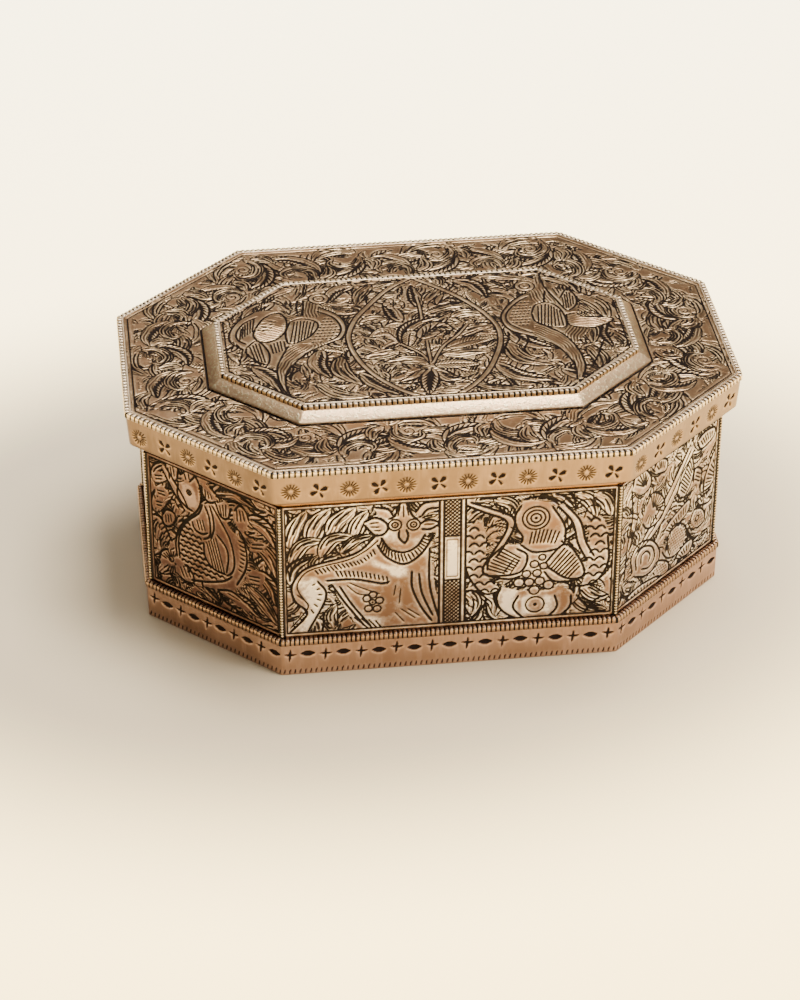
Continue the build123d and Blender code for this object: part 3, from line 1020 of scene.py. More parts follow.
peacockFigure = {
    "forms": [
        [(17.6, 29.7), (20.7, 30.9), (25.3, 26.1), (30.7, 22), (30, 14), (26.9, 8.6), (19.2, 5.3),
         (8.7, 4.3), (7.2, 9.9), (7.6, 14.7), (9.1, 19.9), (12.6, 23.9), (16.1, 29.1)],
        [(9.5, 32.7), (12.6, 34.7), (14.9, 37.1), (16.4, 30.4), (16.1, 27.9), (13.4, 25.3), (10.7, 26.6),
         (9.1, 29.1)], [(4.3, 34.9), (5.3, 36.1), (10.3, 29.9), (12.4, 26.1), (11.4, 25), (8.3, 28.8)],
        [(5.6, 35.8), (7.2, 37.6), (9.1, 37.2), (9.5, 35), (7.6, 32), (5.6, 32.8)],
        [(10.3, 35.3), (12.6, 37.5), (14.5, 36.6), (13, 34.4), (11, 34.1)],
        [(16.8, 32.8), (17, 35.2), (19.2, 35.3), (21.5, 32.7), (19.2, 30.7)],
        [(26.5, 31.9), (28, 33.7), (30.7, 33.2), (31.5, 30.4), (29.6, 26.2), (26.9, 28.2)],
        [(3.7, 20.5), (4.9, 22.8), (7.2, 23.4), (8, 21.3), (6, 18.7), (4.1, 18.7)],
        [(1, 32.1), (2.9, 33.6), (5.1, 33.3), (4.5, 31.2), (1.8, 30.1)],
        [(1.2, 24.5), (3.3, 26.1), (5.1, 25.2), (3.7, 22.8), (1.4, 22.3)],
        [(1.8, 28.6), (4.1, 29.9), (6.4, 28.1), (4.5, 25.8), (2.2, 26.4)],
        [(20.7, 30.9), (24.6, 33.1), (25.7, 30.9), (24.6, 28.1), (22.2, 28)],
        [(31.9, 24), (35, 26), (36.9, 25.2), (34.6, 22.4), (31.5, 21.6)],
        [(30.3, 14.2), (33.1, 16.8), (36.1, 15.7), (34.6, 12.8), (30.7, 12.4)],
        [(20.7, 5.5), (24.6, 7.3), (29.2, 6.1), (30.7, 3.2), (26.1, 3.7)],
        [(1.8, 19.7), (2.9, 19.8), (6, 15.6), (6.4, 13.1), (3.7, 15.5)],
        [(2.9, 10.2), (5.6, 11.2), (8.7, 10.5), (12.2, 8.7), (13.4, 5.3), (10.7, 3.5), (7.2, 4.5),
         (3.3, 5.3), (2.2, 7.6)],
    ],
    "bold": [
        [(14.9, 37.1), (16.3, 34.2), (16.6, 30.8), (15.3, 26.9), (12.2, 23.4), (9.1, 19.1), (7.8, 14.7),
         (8, 10.2)], [(17, 29.4), (15.7, 26.2), (12.6, 23.1), (9.9, 19.4), (8.7, 15.1), (8.9, 10.2)],
        [(9.5, 32.7), (9.1, 29.1), (11, 26.8), (14.1, 26)], [(4.3, 34.9), (8.3, 28.8), (11.4, 25)],
        [(17.6, 29.3), (18.8, 26.7), (19.2, 23.3), (18.8, 20.5), (16.8, 19)],
        [(19.2, 29.9), (20.1, 26.8), (20.3, 23.4), (19.2, 19.9)],
        [(13.4, 23), (14.1, 21), (16.4, 20.4), (18.4, 21.5)],
        [(16.8, 18.2), (17.2, 13.8), (19.9, 11.3), (23.8, 11.3)],
        [(19.9, 30.2), (22.6, 26.6), (25.3, 22.3), (26.5, 16.6), (25.7, 12.8), (23.8, 10.9)],
        [(21.1, 22.2), (23.8, 19.7), (24.6, 16.6), (23.8, 11.7)],
        [(25.3, 27.6), (28.8, 25.5), (30.3, 21.1), (30, 15.6), (26.9, 9.4)],
        [(26.9, 31.3), (28.8, 33.6), (30.7, 32.4), (31.5, 30)],
        [(5.3, 36.5), (7.6, 38.1), (9.5, 36.9), (9.1, 33.3)],
        [(10.3, 35.3), (12.6, 37.5), (14.7, 36.6), (13, 34.2)],
        [(17, 34.8), (17.2, 32.2), (19.2, 30.7), (21.5, 31.9)], [(19.5, 35.8), (21.5, 33.9), (24.6, 34.7)],
        [(3.7, 20.9), (5.3, 23.2), (7.6, 23.1), (8, 21), (6, 18.3), (3.9, 18.6), (3.7, 20.9)],
        [(12.2, 4.9), (17.6, 6.6), (23, 9.1), (25.7, 11.6)], [(15.7, 6.2), (16.1, 3.7)],
        [(20.7, 5.5), (23, 2.9), (26.9, 2.1)], [(20.7, 5.5), (25.3, 6.9), (30, 5.2)],
        [(7.2, 5.3), (10.3, 3.8), (13, 4.4), (12.6, 7.4), (10.3, 8.8)],
        [(2.2, 7.2), (2.9, 9.8), (5.3, 11.5)], [(1, 20.2), (3.3, 19.9), (6.4, 14.2)],
        [(21.1, 31.4), (22.6, 28.1), (24.9, 28.3), (25.9, 31.7)],
    ],
    "edges": [(2, 1, 4)],
    "fine": [[(10.7, 27.4), (11.8, 26.3), (13, 26)], [(22.6, 4.7), (26.5, 4.2)], [(23.8, 5.9), (28, 5.2)]],
    "hatch": [
        ([(17.4, 18.4), (19.2, 19.9), (21.1, 21.4)], [(19.2, 11.8), (21.5, 11.2), (23.6, 11.4)], 7),
        ([(14.5, 23.9), (17.2, 24.9)], [(15.3, 21.1), (18, 21.7)], 5),
        ([(6, 35.6), (8.3, 37.3)], [(6.4, 32.3), (8.7, 34.3)], 3),
        ([(11, 36), (13.4, 36.9)], [(11.4, 34.2), (13.7, 35.1)], 4),
        ([(17.6, 34.3), (19.9, 33.3)], [(17.6, 31.6), (20.7, 32)], 4),
        ([(27.3, 31.9), (30, 32.5)], [(27.3, 28.4), (30.7, 29.7)], 5),
        ([(4.5, 21.5), (6.8, 22.4)], [(4.5, 18.8), (7.2, 20.3)], 5),
        ([(1.8, 32.4), (2.2, 30.6)], [(4.7, 33.2), (4.3, 31.3)], 4),
        ([(1.8, 24.7), (2.2, 23)], [(4.3, 25.3), (3.9, 23.2)], 4),
        ([(2.2, 28.3), (2.9, 26.7)], [(4.9, 28.6), (5.3, 26.8)], 4),
        ([(21.9, 30.9), (24.9, 32.5)], [(22.6, 28.1), (24.6, 28.5)], 5),
        ([(27.9, 23.8), (28.4, 18.8), (27.6, 13.9)], [(30, 23.6), (30, 18.7), (28.8, 13.6)], 8),
        ([(32.3, 24.2), (31.9, 22.1)], [(36.1, 25.7), (35.4, 23.1)], 4),
        ([(30.7, 14.3), (31.1, 12.6)], [(34.6, 15.4), (34.2, 13)], 4),
        ([(8.3, 7.3), (11.4, 9.2)], [(9.5, 4.6), (12.6, 5.8)], 5),
        ([(2.2, 18), (5.3, 12.2)], [(3.7, 19.3), (6.8, 15.1)], 5),
        ([(2.4, 8.4), (5.3, 11.1), (8.3, 11.1)], [(4.3, 8), (5.8, 9.4), (7.2, 9.5)], 7),
        ([(2.9, 5.2), (5.3, 4.1), (7.6, 5)], [(4.7, 6.6), (6.1, 6.6), (7.2, 7.4)], 6),
    ],
    "scales": [
        ([(9.1, 19.1), (12.6, 22.7), (14.1, 20.3), (16.8, 19), (17, 13.7), (19.9, 10.9), (24.6, 10.8),
         (19.2, 8), (11.4, 6.5), (8.9, 10.2), (8.5, 15)], 1.75, 1.45),
    ],
    # patches painted bright: painted highlights
    "paintedHighlights": [[(10.8, 32.8), (13.2, 33.6), (14.8, 31.8), (14.8, 28.4), (12.8, 27.2), (11.2, 29.4)]],
    "rings": [(12.8, 31.1, 0.75), (6, 8.7, 0.8)],
    "dots": [(12.8, 31.1, 0.5), (5.8, 8.6, 0.45), (7.3, 7.7, 0.45)],
}
voluteFigure = {
    "forms": [
        [(5.1, 12.9), (6.8, 16.3), (11.6, 15.6), (16.7, 11.5), (17.3, 6.9), (14.3, 4.7), (8.8, 5.7),
         (5.1, 9.6)],
        [(4.4, 34.7), (5.4, 37.4), (8.8, 37.4), (11.6, 34.5), (11.7, 31.6), (9.5, 30.4), (6.1, 31.8)],
        [(10.5, 26.1), (12.9, 28.6), (17, 25.9), (18.5, 21.8), (16.3, 19.2), (11.6, 18.9), (9, 21.7)],
        [(6.5, 13.6), (11.6, 18), (17, 22.6), (21.8, 27.5), (27.6, 34.2), (30.1, 32.8), (25.2, 25.7),
         (20.4, 19.8), (14.3, 15.6), (8.5, 13.9)],
        [(23.8, 22.7), (25.2, 27.6), (29.3, 31.4), (30.5, 26.6), (29.1, 22.6), (27.2, 20.4)],
        [(18.4, 13.9), (21.8, 16.3), (29.3, 18.4), (28.2, 14.7), (21.1, 12.4)],
        [(21.4, 10.4), (23.5, 13), (27.2, 10.8), (28.2, 6.8), (24.5, 5.3), (21.8, 7.4)],
        [(30.7, 10.6), (32.3, 13.5), (35.4, 12.2), (36.4, 8.6), (33.3, 7.9)],
        [(3.7, 1.7), (8.8, 2.8), (17.3, 1.5), (15.6, -0.7), (7.5, -0.2)],
        [(14.6, 4.8), (17, 6.1), (21.2, 3.4), (20.5, 1), (17, 1.6)],
        [(24.1, 2.2), (27.2, 5), (31.6, 5.3), (30.3, 2)],
        [(35.4, 17.5), (36.1, 22.7), (40.1, 28.8), (41.4, 22.2), (38.8, 18.5)],
        [(30.6, 22.8), (31.3, 26.6), (34, 24.7), (33.3, 20.9)],
        [(12.9, 35.6), (15, 37.3), (18.4, 35.5), (18, 32.8), (14.3, 33.5)],
        [(31.3, 34.5), (34.7, 35.9), (38.8, 35.1), (38.1, 32.7), (33.3, 31.5)],
    ],
    "bold": [
        [(5.8, 8.3), (5.1, 13.4), (8.2, 16), (13.6, 14.3), (17.3, 9.2), (16.3, 5.5), (11.6, 4.7),
         (6.8, 6.8)],
        [(7.5, 8.3), (7.1, 12.3), (9.9, 14.1), (13.9, 12.2), (15.1, 8.5), (12.9, 6.6), (9.5, 7.7)],
        [(9.4, 9.2), (9.5, 11.7), (11.6, 12.1), (13.3, 10), (12.4, 8.3)],
        [(4.4, 34.7), (5.4, 37.4), (9, 37.4), (11.7, 34.2), (11.6, 31.2), (9.2, 30.1)],
        [(10.5, 26.1), (12.9, 28.6), (17.1, 25.8), (18.5, 21.5), (16.3, 18.9), (11.6, 18.8), (9, 21.7)],
        [(7.5, 13.8), (12.9, 16.8), (18.7, 21.2), (23.5, 26.6), (28.8, 33.5)],
        [(27.2, 20.4), (29.3, 22.6), (30.5, 26.6), (29.3, 31.4)],
        [(22.4, 22.9), (24.5, 20), (28.2, 19.4), (30.3, 21.1)], [(23.5, 23.3), (25.2, 20.8), (28.2, 20.3)],
        [(18.4, 13.9), (21.8, 16.3), (29.3, 18.4), (28.4, 14.6), (21.1, 12.4)],
        [(20.4, 7.6), (21.1, 12), (23.8, 13.8), (28.2, 11), (29.3, 6.3), (25.2, 4.2), (21.1, 4.9),
         (18.4, 8.2)], [(29.9, 10.6), (32, 13.9), (35.7, 12.2), (36.7, 8.4), (33.3, 7.4)],
        [(3.7, 1.7), (8.8, 2.8), (17.3, 1.5), (15.6, -0.9), (7.5, -0.3), (3.7, 1.7)],
        [(14.3, 4.7), (16.7, 6.3), (21.4, 3.6), (21.1, 0.5), (16.7, 1.4)],
        [(24.1, 2.2), (27.2, 5), (31.8, 5.2), (30.6, 1.6), (25.2, 1.9)],
        [(35.4, 17.5), (36.1, 22.7), (40.3, 28.8), (41.5, 22.1), (38.9, 18.2), (35.4, 17.5)],
        [(30.6, 22.8), (31.2, 26.7), (34.1, 24.8), (33.7, 20.5)],
        [(2.4, 7.7), (3.1, 16.8), (4.8, 25.4), (4.1, 33.4)], [(3.7, 16), (5.8, 20.1), (7.5, 25.9)],
        [(32, 16), (35.4, 16.5), (38.8, 16.6)], [(32.7, 14.7), (37.4, 13.2), (40.1, 14.1)],
        [(29.3, 8.6), (32, 4.9), (34.7, 4.9)],
        [(12.9, 35.6), (15, 37.4), (18.5, 35.5), (18.1, 32.6), (14.3, 33.4)],
        [(31.3, 34.5), (34.7, 35.9), (38.9, 35.1), (38.2, 32.5), (33.3, 31.4), (31.3, 34.5)],
    ],
    "edges": [(3, 0, 5), (3, 5, 10), (4, 0, 3)],
    "fine": [[(7.2, 19.1), (6.5, 16.9), (8.5, 14.6)], [(35.4, 5.4), (38.1, 5), (38.8, 2.8)]],
    "hatch": [
        ([(5.1, 34.3), (6.5, 36.6), (9, 36.6), (11.2, 34)], [(9, 32.4), (9.3, 32.7), (9.7, 32.6),
         (9.9, 32.1)], 7),
        ([(11.6, 28.8), (15, 27.4), (18, 23.4), (17.7, 20.3)], [(13.3, 23.9), (13.9, 24), (14.6, 23.4),
         (14.6, 22.7)], 9),
        ([(9.9, 21.7), (12.9, 19.1), (16, 19.8)], [(11.6, 23.2), (13.3, 21.8), (14.6, 21.7)], 5),
        ([(24.8, 23.1), (25.9, 27.2), (28.9, 30.7)], [(27.1, 20.9), (28.9, 23.2), (30.1, 27.2)], 9),
        ([(19, 14), (22.4, 15.4), (28.6, 17.8)], [(21.1, 12.7), (24.5, 13.9), (28.2, 15.2)], 9),
        ([(4.8, 1.4), (9.5, 2.2), (16.3, 1.3)], [(7.1, 0), (11.6, -0.5), (15.5, -0.5)], 8),
        ([(24.5, 2.5), (27.6, 4.4), (31, 4.9)], [(26.2, 1.8), (28.9, 2.3), (30.5, 3.1)], 6),
        ([(35.7, 18.2), (36.7, 22.3), (39.8, 27.6)], [(38.1, 18.4), (39.8, 20.7), (41.1, 23.2)], 8),
        ([(31, 23.1), (31.6, 25.9)], [(33.3, 21.3), (33.9, 24.3)], 5),
        ([(13.6, 35.5), (15.3, 36.7), (18, 35.2)], [(15.1, 34), (16, 34.4), (17.7, 33.5)], 5),
        ([(32.3, 33.9), (35.4, 35.1), (38.1, 34.5)], [(33.7, 32), (36.4, 32.7), (38, 33)], 6),
    ],
    "rings": [(33.3, 10.7, 0.8)],
    "pricks": [
        ([(21.9, 10.1), (23.7, 12.5), (27.1, 10.4), (27.9, 7), (24.5, 5.7), (22.1, 7.4)], 0.85, 0.85),
        ([(31.3, 10.6), (32.5, 12.9), (35.2, 11.8), (35.9, 8.9), (33.5, 8.3)], 0.85, 0.85),
        ([(15.1, 4.8), (17.1, 5.6), (20.8, 3.4), (20.3, 1.3), (17.1, 1.9)], 0.85, 0.85),
    ],
}


# the two birds on the boss, in millimetres from its middle
leftBird = {
    "forms": [
        [(-25, 17.2), (-21.6, 13.8), (-19.6, 10.2), (-19.1, 5.5), (-20.7, 1), (-23.1, -0.6), (-29.6, -4.9),
         (-33.9, -10.5), (-35.9, -14.5), (-36.4, -20.4), (-35.4, -27.2), (-36.3, -25.1), (-37.8, -19.1),
         (-38, -12.6), (-39.7, -10.2), (-42.6, -7.7), (-45.1, -2.9), (-47.3, 1.9), (-48.3, 6), (-45.7, 12.2),
         (-41.5, 16.1), (-36.4, 16.4), (-32.7, 13.8), (-29.7, 13.1), (-29.3, 17.7), (-26.9, 21.6),
         (-24.6, 19.8)],
    ],
    "combed": [
        ([(-41.8, 8), (-39.2, 13), (-35.6, 15.2), (-33.8, 12.2), (-34.2, 6.4), (-37.2, 1.9), (-40.7, 1.5),
         (-42.5, 4.5)], [(-42.3, 6.8), (-38.2, 7.8), (-33.7, 8.7)]),
        ([(-34.1, -0.9), (-36.7, -7.5), (-38, -12.6), (-37.8, -19.1), (-36.3, -25.1), (-35.4, -27.2),
         (-36.4, -20.4), (-35.9, -14.5), (-33.9, -10.5), (-29.6, -4.9), (-24.6, -1.1)], [(-29, -2.1),
         (-34.4, -7.6), (-37, -13.9), (-36.4, -21.5), (-35.6, -26.9)]),
        ([(-26.9, 21.6), (-29.3, 17.7), (-29.8, 13.1), (-29, 11.4), (-25.4, 12), (-24.8, 17.3)], [(-26, 21),
         (-27.4, 16.5), (-27.4, 12)]),
        ([(-39.1, 15.9), (-36.4, 16.4), (-32.7, 13.8), (-31.3, 12.6), (-33.4, 10.4),
         (-35.6, 15.2)], [(-39.2, 15.4), (-35.5, 15.7), (-31.5, 12)]),
    ],
    "bold": [
        [(-25.8, 15.2), (-22.2, 11.8), (-20.8, 8.5), (-20.5, 5), (-21.9, 1.6), (-24.4, -0.3)],
        [(-34.1, -0.9), (-36.7, -7.5), (-38, -12.6), (-37.8, -19.1), (-36.1, -25.4)],
        [(-32.9, 10.4), (-29.9, 11.7), (-26.6, 10), (-26.1, 7.1), (-28.6, 2.6), (-32.3, -0.1), (-34.2, 0),
         (-34.4, 5.2), (-32.9, 10.4)],
        [(-41.8, 8), (-39.2, 13), (-35.6, 15.2), (-33.8, 12.2), (-34.2, 6.4), (-37.2, 1.9), (-40.8, 1.2),
         (-42.5, 4.5), (-41.8, 8)], [(-40.9, 13.7), (-44.4, 11), (-46.6, 6.5), (-46.5, 3), (-44.6, 0.6)],
        [(-41.5, 16.1), (-45.7, 12.2), (-48.3, 6.6), (-48.3, 1.9), (-45.4, -2)],
        [(-44.7, -1.2), (-42.3, 1.9), (-40.9, 0.9), (-39.3, -4.4), (-40.1, -9.6), (-42.6, -7.7),
         (-44.8, -4.1), (-44.7, -1.2)], [(-28.6, 21.1), (-28.9, 17.1), (-29.4, 13.1)],
        [(-29.9, 21.2), (-30.6, 17.8), (-30.5, 14.3)],
    ],
    "edges": [(0, 0, 11)],
    "hatch": [
        ([(-32.1, 10.3), (-29.6, 10.8), (-26.4, 9.4)], [(-34.1, 0.3), (-31.7, 0.4), (-28, 3.1)], 8),
        ([(-45.5, 8.2), (-43.8, 11), (-41.3, 13.1)], [(-46.4, 2.4), (-44.3, 4.6), (-42.3, 6.8)], 6),
        ([(-44.2, -1.2), (-42.2, 1), (-41, 0.4)], [(-43.3, -7.1), (-41.7, -8.3), (-40.2, -9)], 6),
        ([(-39, -0.3), (-36.3, 1.3), (-34.7, 1.2)], [(-38.6, -5), (-36.3, -4), (-34.7, -2.9)], 5),
        ([(-42.3, 16.1), (-39, 19.4), (-35.4, 22.7)], [(-41.5, 18.4), (-38.5, 21.7), (-35.4, 25)], 8),
        ([(-41.6, 6.6), (-40.2, 9.8), (-38.2, 12.6)], [(-38.4, 5.8), (-37.4, 8.4), (-35.8, 11.4)], 4),
    ],
    "rings": [(-24.6, 21.2, 2.6), (-24.6, 21.2, 1.4)],
    "dots": [(-24.6, 21.2, 0.5)],
    "pricks": [
        ([(-24.9, 11.7), (-22.4, 11), (-20.9, 6.8), (-21.7, 2.8), (-24.6, 0), (-28.8, -0.9), (-28.2, 2),
         (-25.6, 7.1)], 1, 1.4),
    ],
}
rightBird = {
    "forms": [
        [(29.4, 18.6), (25.7, 15.9), (22.2, 11.4), (20.2, 6.9), (20.3, 2.8), (22.2, -0.8), (27.7, -4.6),
         (32.1, -9.6), (34.4, -16.2), (34.8, -20.9), (34.2, -25.6), (35.7, -24.5), (37.2, -19.9),
         (37.3, -14.6), (36.5, -9.2), (41.6, -1.9), (46, 0.2), (47.9, 3), (40.8, 5.1), (39.9, 9.3),
         (40.8, 15), (38.8, 18.6), (36.4, 18.8), (34.1, 23.5), (32.5, 26.5), (30.9, 23.7)],
    ],
    "combed": [
        ([(27.1, -2.3), (27.7, -4.6), (32.1, -9.6), (34.4, -16.2), (34.8, -20.9), (34.2, -25.6),
         (35.7, -24.5), (37.2, -19.9), (37.3, -14.6), (36.5, -9.2), (34.5, -3.9), (31.3, 0.4),
         (28.3, 2.9)], [(27.8, 0), (33.3, -6.1), (35.9, -13.9), (35.2, -24.5)]),
        ([(30.9, 23.7), (32.5, 26.5), (33.9, 23), (34.4, 16.6), (35.9, 11), (33.1, 12.6), (29.7, 11.6),
         (28.5, 16), (29.4, 18.6)], [(32.2, 25.5), (31.6, 18.5), (32.6, 12)]),
        ([(36.5, -9.2), (41.6, -1.9), (36.7, 0.7), (35.8, 0.2), (34.5, -3.9)], [(39.5, -1), (37.4, -4.4),
         (36.4, -9)]),
        ([(36.6, 6), (39.4, 6.4), (40.7, 4.6), (47.9, 3), (46, 0.2), (41.2, -1.3),
         (36.7, 0.7)], [(36.2, 3.6), (41.7, 1.6), (48, 2.4)]),
        ([(39.9, 9.3), (40.8, 5.1), (44.4, 4.4), (43.6, 9.1), (41.8, 12.1)], [(40.4, 11.6), (42.4, 8),
         (44.4, 4.4)]),
    ],
    "bold": [
        [(28.4, 16), (25.9, 14.1), (22.8, 10.2), (21.4, 6.8), (21.7, 3.3), (24.1, 0.2), (27.1, -2.3)],
        [(28.2, 3.8), (31.3, 0.4), (34.5, -3.9), (36.5, -9.2), (37.3, -14.6), (37.2, -19.9), (35.7, -24.5)],
        [(28.1, 7.6), (29.7, 11.6), (33.1, 12.6), (35.4, 9.5), (36.2, 4.8), (35.8, 0.2), (33.9, -0.3),
         (30.9, 1), (28.4, 3.5), (28.1, 7.6)],
        [(33, 27.6), (33.2, 21.8), (34.4, 16.6), (35.7, 12.4), (36.8, 8.3)], [(33.2, 18.9), (32, 12.6)],
        [(36.3, 14.1), (38.8, 18.6), (40.5, 15.1), (39.9, 10.4), (37.3, 8), (36, 11.2)],
        [(36.6, 6), (39.4, 6.4), (40.7, 4.6), (47.9, 3), (46, 0.2), (41.2, -1.3), (36.7, 0.7), (36.6, 6)],
        [(20.7, -0.7), (20.6, -3.7), (18.2, -10.6)], [(22.8, -2), (23.1, -5), (21.9, -6.7)],
        [(25.2, -3.3), (25.3, -5.7), (23.6, -9.1)], [(43.7, -7.9), (41.4, -14.2), (38.8, -20)],
    ],
    "edges": [(0, 0, 11)],
    "hatch": [
        ([(29.8, 11), (32.9, 11.7), (35.6, 7.8)], [(28.9, 3.5), (31.4, 0.7), (35.6, 0.2)], 8),
        ([(36.8, 14.1), (38.8, 17.5), (40.1, 14.5)], [(36.5, 10.6), (37.4, 8.8), (39.7, 11)], 5),
        ([(34.9, 19.4), (37.9, 21), (40.3, 19.7)], [(35.7, 15.3), (37.9, 18.1), (40.2, 16.2)], 6),
    ],
    "rings": [(28.4, 21.5, 2.6), (28.4, 21.5, 1.4)],
    "dots": [(28.4, 21.5, 0.5)],
    "pricks": [
        ([(23.3, 10.2), (27, 14.1), (28.5, 12.2), (27.6, 6.5), (27.4, 2.4), (24.3, 1.4), (22.2, 4.4)],
         1, 1.4),
    ],
}


beastLeaves = [
    ([(1.6, 25.5), (3, 31), (5.6, 36.6)], 5.4, "long"), ([(6.2, 26.5), (8, 32), (11.4, 36.8)], 5.6, "long"),
    ([(11, 28), (13.4, 32.5), (17.6, 36.6)], 5.6, "long"),
    ([(16.6, 27), (18, 31.5), (20.4, 35.6)], 4.4, "long"),
    ([(1.3, 21), (4.6, 26.6), (9.8, 27.6)], 3.8, "long"),
    ([(8.6, 22.6), (11.6, 27.4), (16.8, 28.4)], 4, "long"),
    ([(13.5, 23.5), (17.5, 27), (21.6, 28)], 3, "long"), ([(1.2, 15), (2.2, 20), (7, 23.2)], 2.8, "half"),
    ([(25.6, 1.2), (27, 4.8), (30.6, 6.8)], 2.6, "half"), ([(12, 1.2), (11, 5.2), (12.6, 9)], 3.4, "long"),
]
birdLeaves = [
    ([(1, 30), (3.4, 33), (7.6, 34.6)], 4.4, "long"), ([(1.2, 22), (3.6, 26.4), (7, 28.4)], 4, "long"),
    ([(8, 36), (12, 34), (14.6, 29.6)], 4.2, "long"), ([(27.6, 36.4), (31.6, 34), (33.4, 29)], 4.4, "long"),
    ([(32.4, 36), (35.4, 33.6), (37, 29)], 4.2, "long"), ([(22, 36.8), (25.4, 35.6), (28, 32)], 3.2, "half"),
    ([(1.2, 10), (3.4, 6.6), (3, 2)], 4.4, "long"), ([(5, 9.6), (8.8, 6.6), (9, 1.6)], 4.2, "long"),
    ([(30, 9), (33.6, 6), (37.2, 5.4)], 4, "long"), ([(28, 5.6), (31.6, 2.8), (36.8, 1.6)], 3.4, "long"),
    ([(13, 3.6), (10.4, 6.4), (9.6, 11.6)], 3, "half"),
    ([(25.4, 3.2), (28.2, 6.4), (28.4, 11.6)], 3, "half"),
]
peacockLeaves = [
    ([(1.4, 30), (4.4, 34), (9.6, 36.4)], 5, "long"), ([(1.2, 21), (3.6, 26), (8, 29.6)], 4.6, "half"),
    ([(20, 34), (26.6, 36.6), (34, 34.6)], 4.6, "half"), ([(22, 28.6), (28, 31.6), (33.6, 28.6)], 5, "long"),
    ([(31, 31), (36.6, 30), (40.2, 25)], 4.8, "half"), ([(33, 24), (37.6, 22), (40.4, 16)], 4.6, "long"),
    ([(33.6, 16.6), (37.8, 13.6), (39.6, 8)], 4.4, "half"),
    ([(30, 10.6), (35, 7.6), (40.2, 2.4)], 4.4, "long"), ([(24, 3), (29, 5.2), (34.4, 2.6)], 3.8, "half"),
    ([(1.4, 3.2), (6.6, 6.6), (12.6, 3.6)], 4.4, "long"),
    ([(1.4, 12.6), (3.4, 17.6), (7.6, 19)], 4.2, "long"), ([(12, 5.4), (17, 4.6), (21.6, 1.6)], 3.4, "half"),
]


def leaves(sheet, listed, at=(0, 0), hand=1):
    for spine, width, kind in listed:
        leaf(sheet, np.array(spine) * (hand, 1) + at, width, kind, edge=0.6)


pilasterSettings = {
    "edge": 1.5,  # width of the plain edges
    "sunk": 0.08,
    "pitch": 1.05,
    "plate": (0.36, 0.70),  # shares of the height
    "frame": (0.7, 1.0),  # from the plate's edge to its frame line
    "paintedHighlights": (0.8, 1.1),  # and to the part of it that is painted bright, a painted highlight
}


def pilaster(sheet, left, right, height):
    # an upright strip of close crossed cuts with a plain framed plate in its middle
    s = pilasterSettings
    inner, outer = left + s["edge"], right - s["edge"]
    low, high = (height * share for share in s["plate"])
    rise = outer - inner
    sheet.clear(oblong(left, 0, right, height))
    sheet.clear(oblong(inner, 0, outer, height), s["sunk"])
    for k in range(-3, int(height / s["pitch"]) + 1):
        foot = 0.5 + k * s["pitch"]
        sheet.line([(inner, foot), (outer, foot + rise)], "crossUp")
        sheet.line([(inner, foot + rise), (outer, foot)], "crossDown")
    sheet.clear(oblong(inner, low, outer, high))
    # the plate's middle is painted bright: a painted highlight
    dx, dy = s["paintedHighlights"]
    sheet.paintHighlight(oblong(inner + dx, low + dy, outer - dx, high - dy))
    dx, dy = s["frame"]
    sheet.outlined(oblong(inner + dx, low + dy, outer - dx, high - dy), "plateEdge")
    for x, width in ((left + 0.35, 0.7), (inner, 0.6), (outer, 0.6), (right - 0.35, 0.7)):
        sheet.line([(x, 0), (x, height)], "frame", width)
    for z in (low, high):
        sheet.line([(inner, z), (outer, z)], "rim")


def framed(draw, seed):
    # a panel's rough ground below and its plain edge above what is drawn on it
    def panel(sheet, width, height):
        combedGround(sheet, random.Random(seed))
        draw(sheet, width, height)
        border(sheet, width, height)
    return panel


def frontPanel(sheet, width, height):
    leaves(sheet, beastLeaves)
    chase(sheet, beastFigure)
    leaves(sheet, birdLeaves, (width - 38.0, 0))
    chase(sheet, birdFigure, (width - 38.0, 0))
    pilaster(sheet, 37.2, 44.3, height)


def backPanel(sheet, width, height):
    leaves(sheet, birdLeaves)
    chase(sheet, birdFigure)
    leaves(sheet, beastLeaves, (width, 0), -1)
    chase(sheet, beastFigure, (width, 0), -1)
    pilaster(sheet, 38.2, 45.3, height)


def chamferPanel(figure, listed, hand):
    # a figure and its leaves from the left end, or mirrored from the right
    def draw(sheet, width, height):
        start = (0 if hand > 0 else width, 0)
        leaves(sheet, listed, start, hand)
        chase(sheet, figure, start, hand)
    return draw


def flower(sheet, centre, radius, petals=6):
    centre = np.array(centre, float)
    for k in range(petals):
        ray = rayTo(k * 2 * math.pi / petals)
        petal = circle(centre + ray * radius * 0.62, radius * 0.4, 14)
        sheet.clear(petal)
        sheet.line(petal, "petal")
        sheet.line([centre + ray * radius * 0.45, centre + ray * radius * 0.8], "petalMiddle")
    sheet.line(circle(centre, radius * 0.26, 9), "flowerRing")
    sheet.dot(centre, radius * 0.12, "flowerEye")


def border(sheet, width, height, gap=0.8, side=0.4):
    # a plain edge with one cut inside it, narrower beside the corners
    right, top = width - side, height - gap
    sheet.clear(oblong(0, 0, width, gap))
    sheet.clear(oblong(0, top, width, height))
    sheet.clear(oblong(0, 0, side, height))
    sheet.clear(oblong(right, 0, width, height))
    sheet.outlined(oblong(side, gap, right, top), "edge")


peacockRight, peacockLeft = (chamferPanel(peacockFigure, peacockLeaves, hand) for hand in (1, -1))
voluteRight, voluteLeft = (chamferPanel(voluteFigure, [], hand) for hand in (1, -1))
panels = [frontPanel, voluteRight, peacockLeft, peacockRight,
          backPanel, voluteLeft, peacockRight, peacockRight]
firstSeed = 20
for side, panel in enumerate(panels):
    # the front left wall gets the darker copy: painted shade
    inShade = sideNames[side] == "front_left"
    chasedWall(side, framed(panel, firstSeed + side), chasedPaintedShade if inShade else chasedSide)
print("walls chased")


# chased top of the lid
def standsOut(node):
    # how far a piece reaches beyond the walls
    return (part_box(node)[1].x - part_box("floor_plate")[1].x) / mm


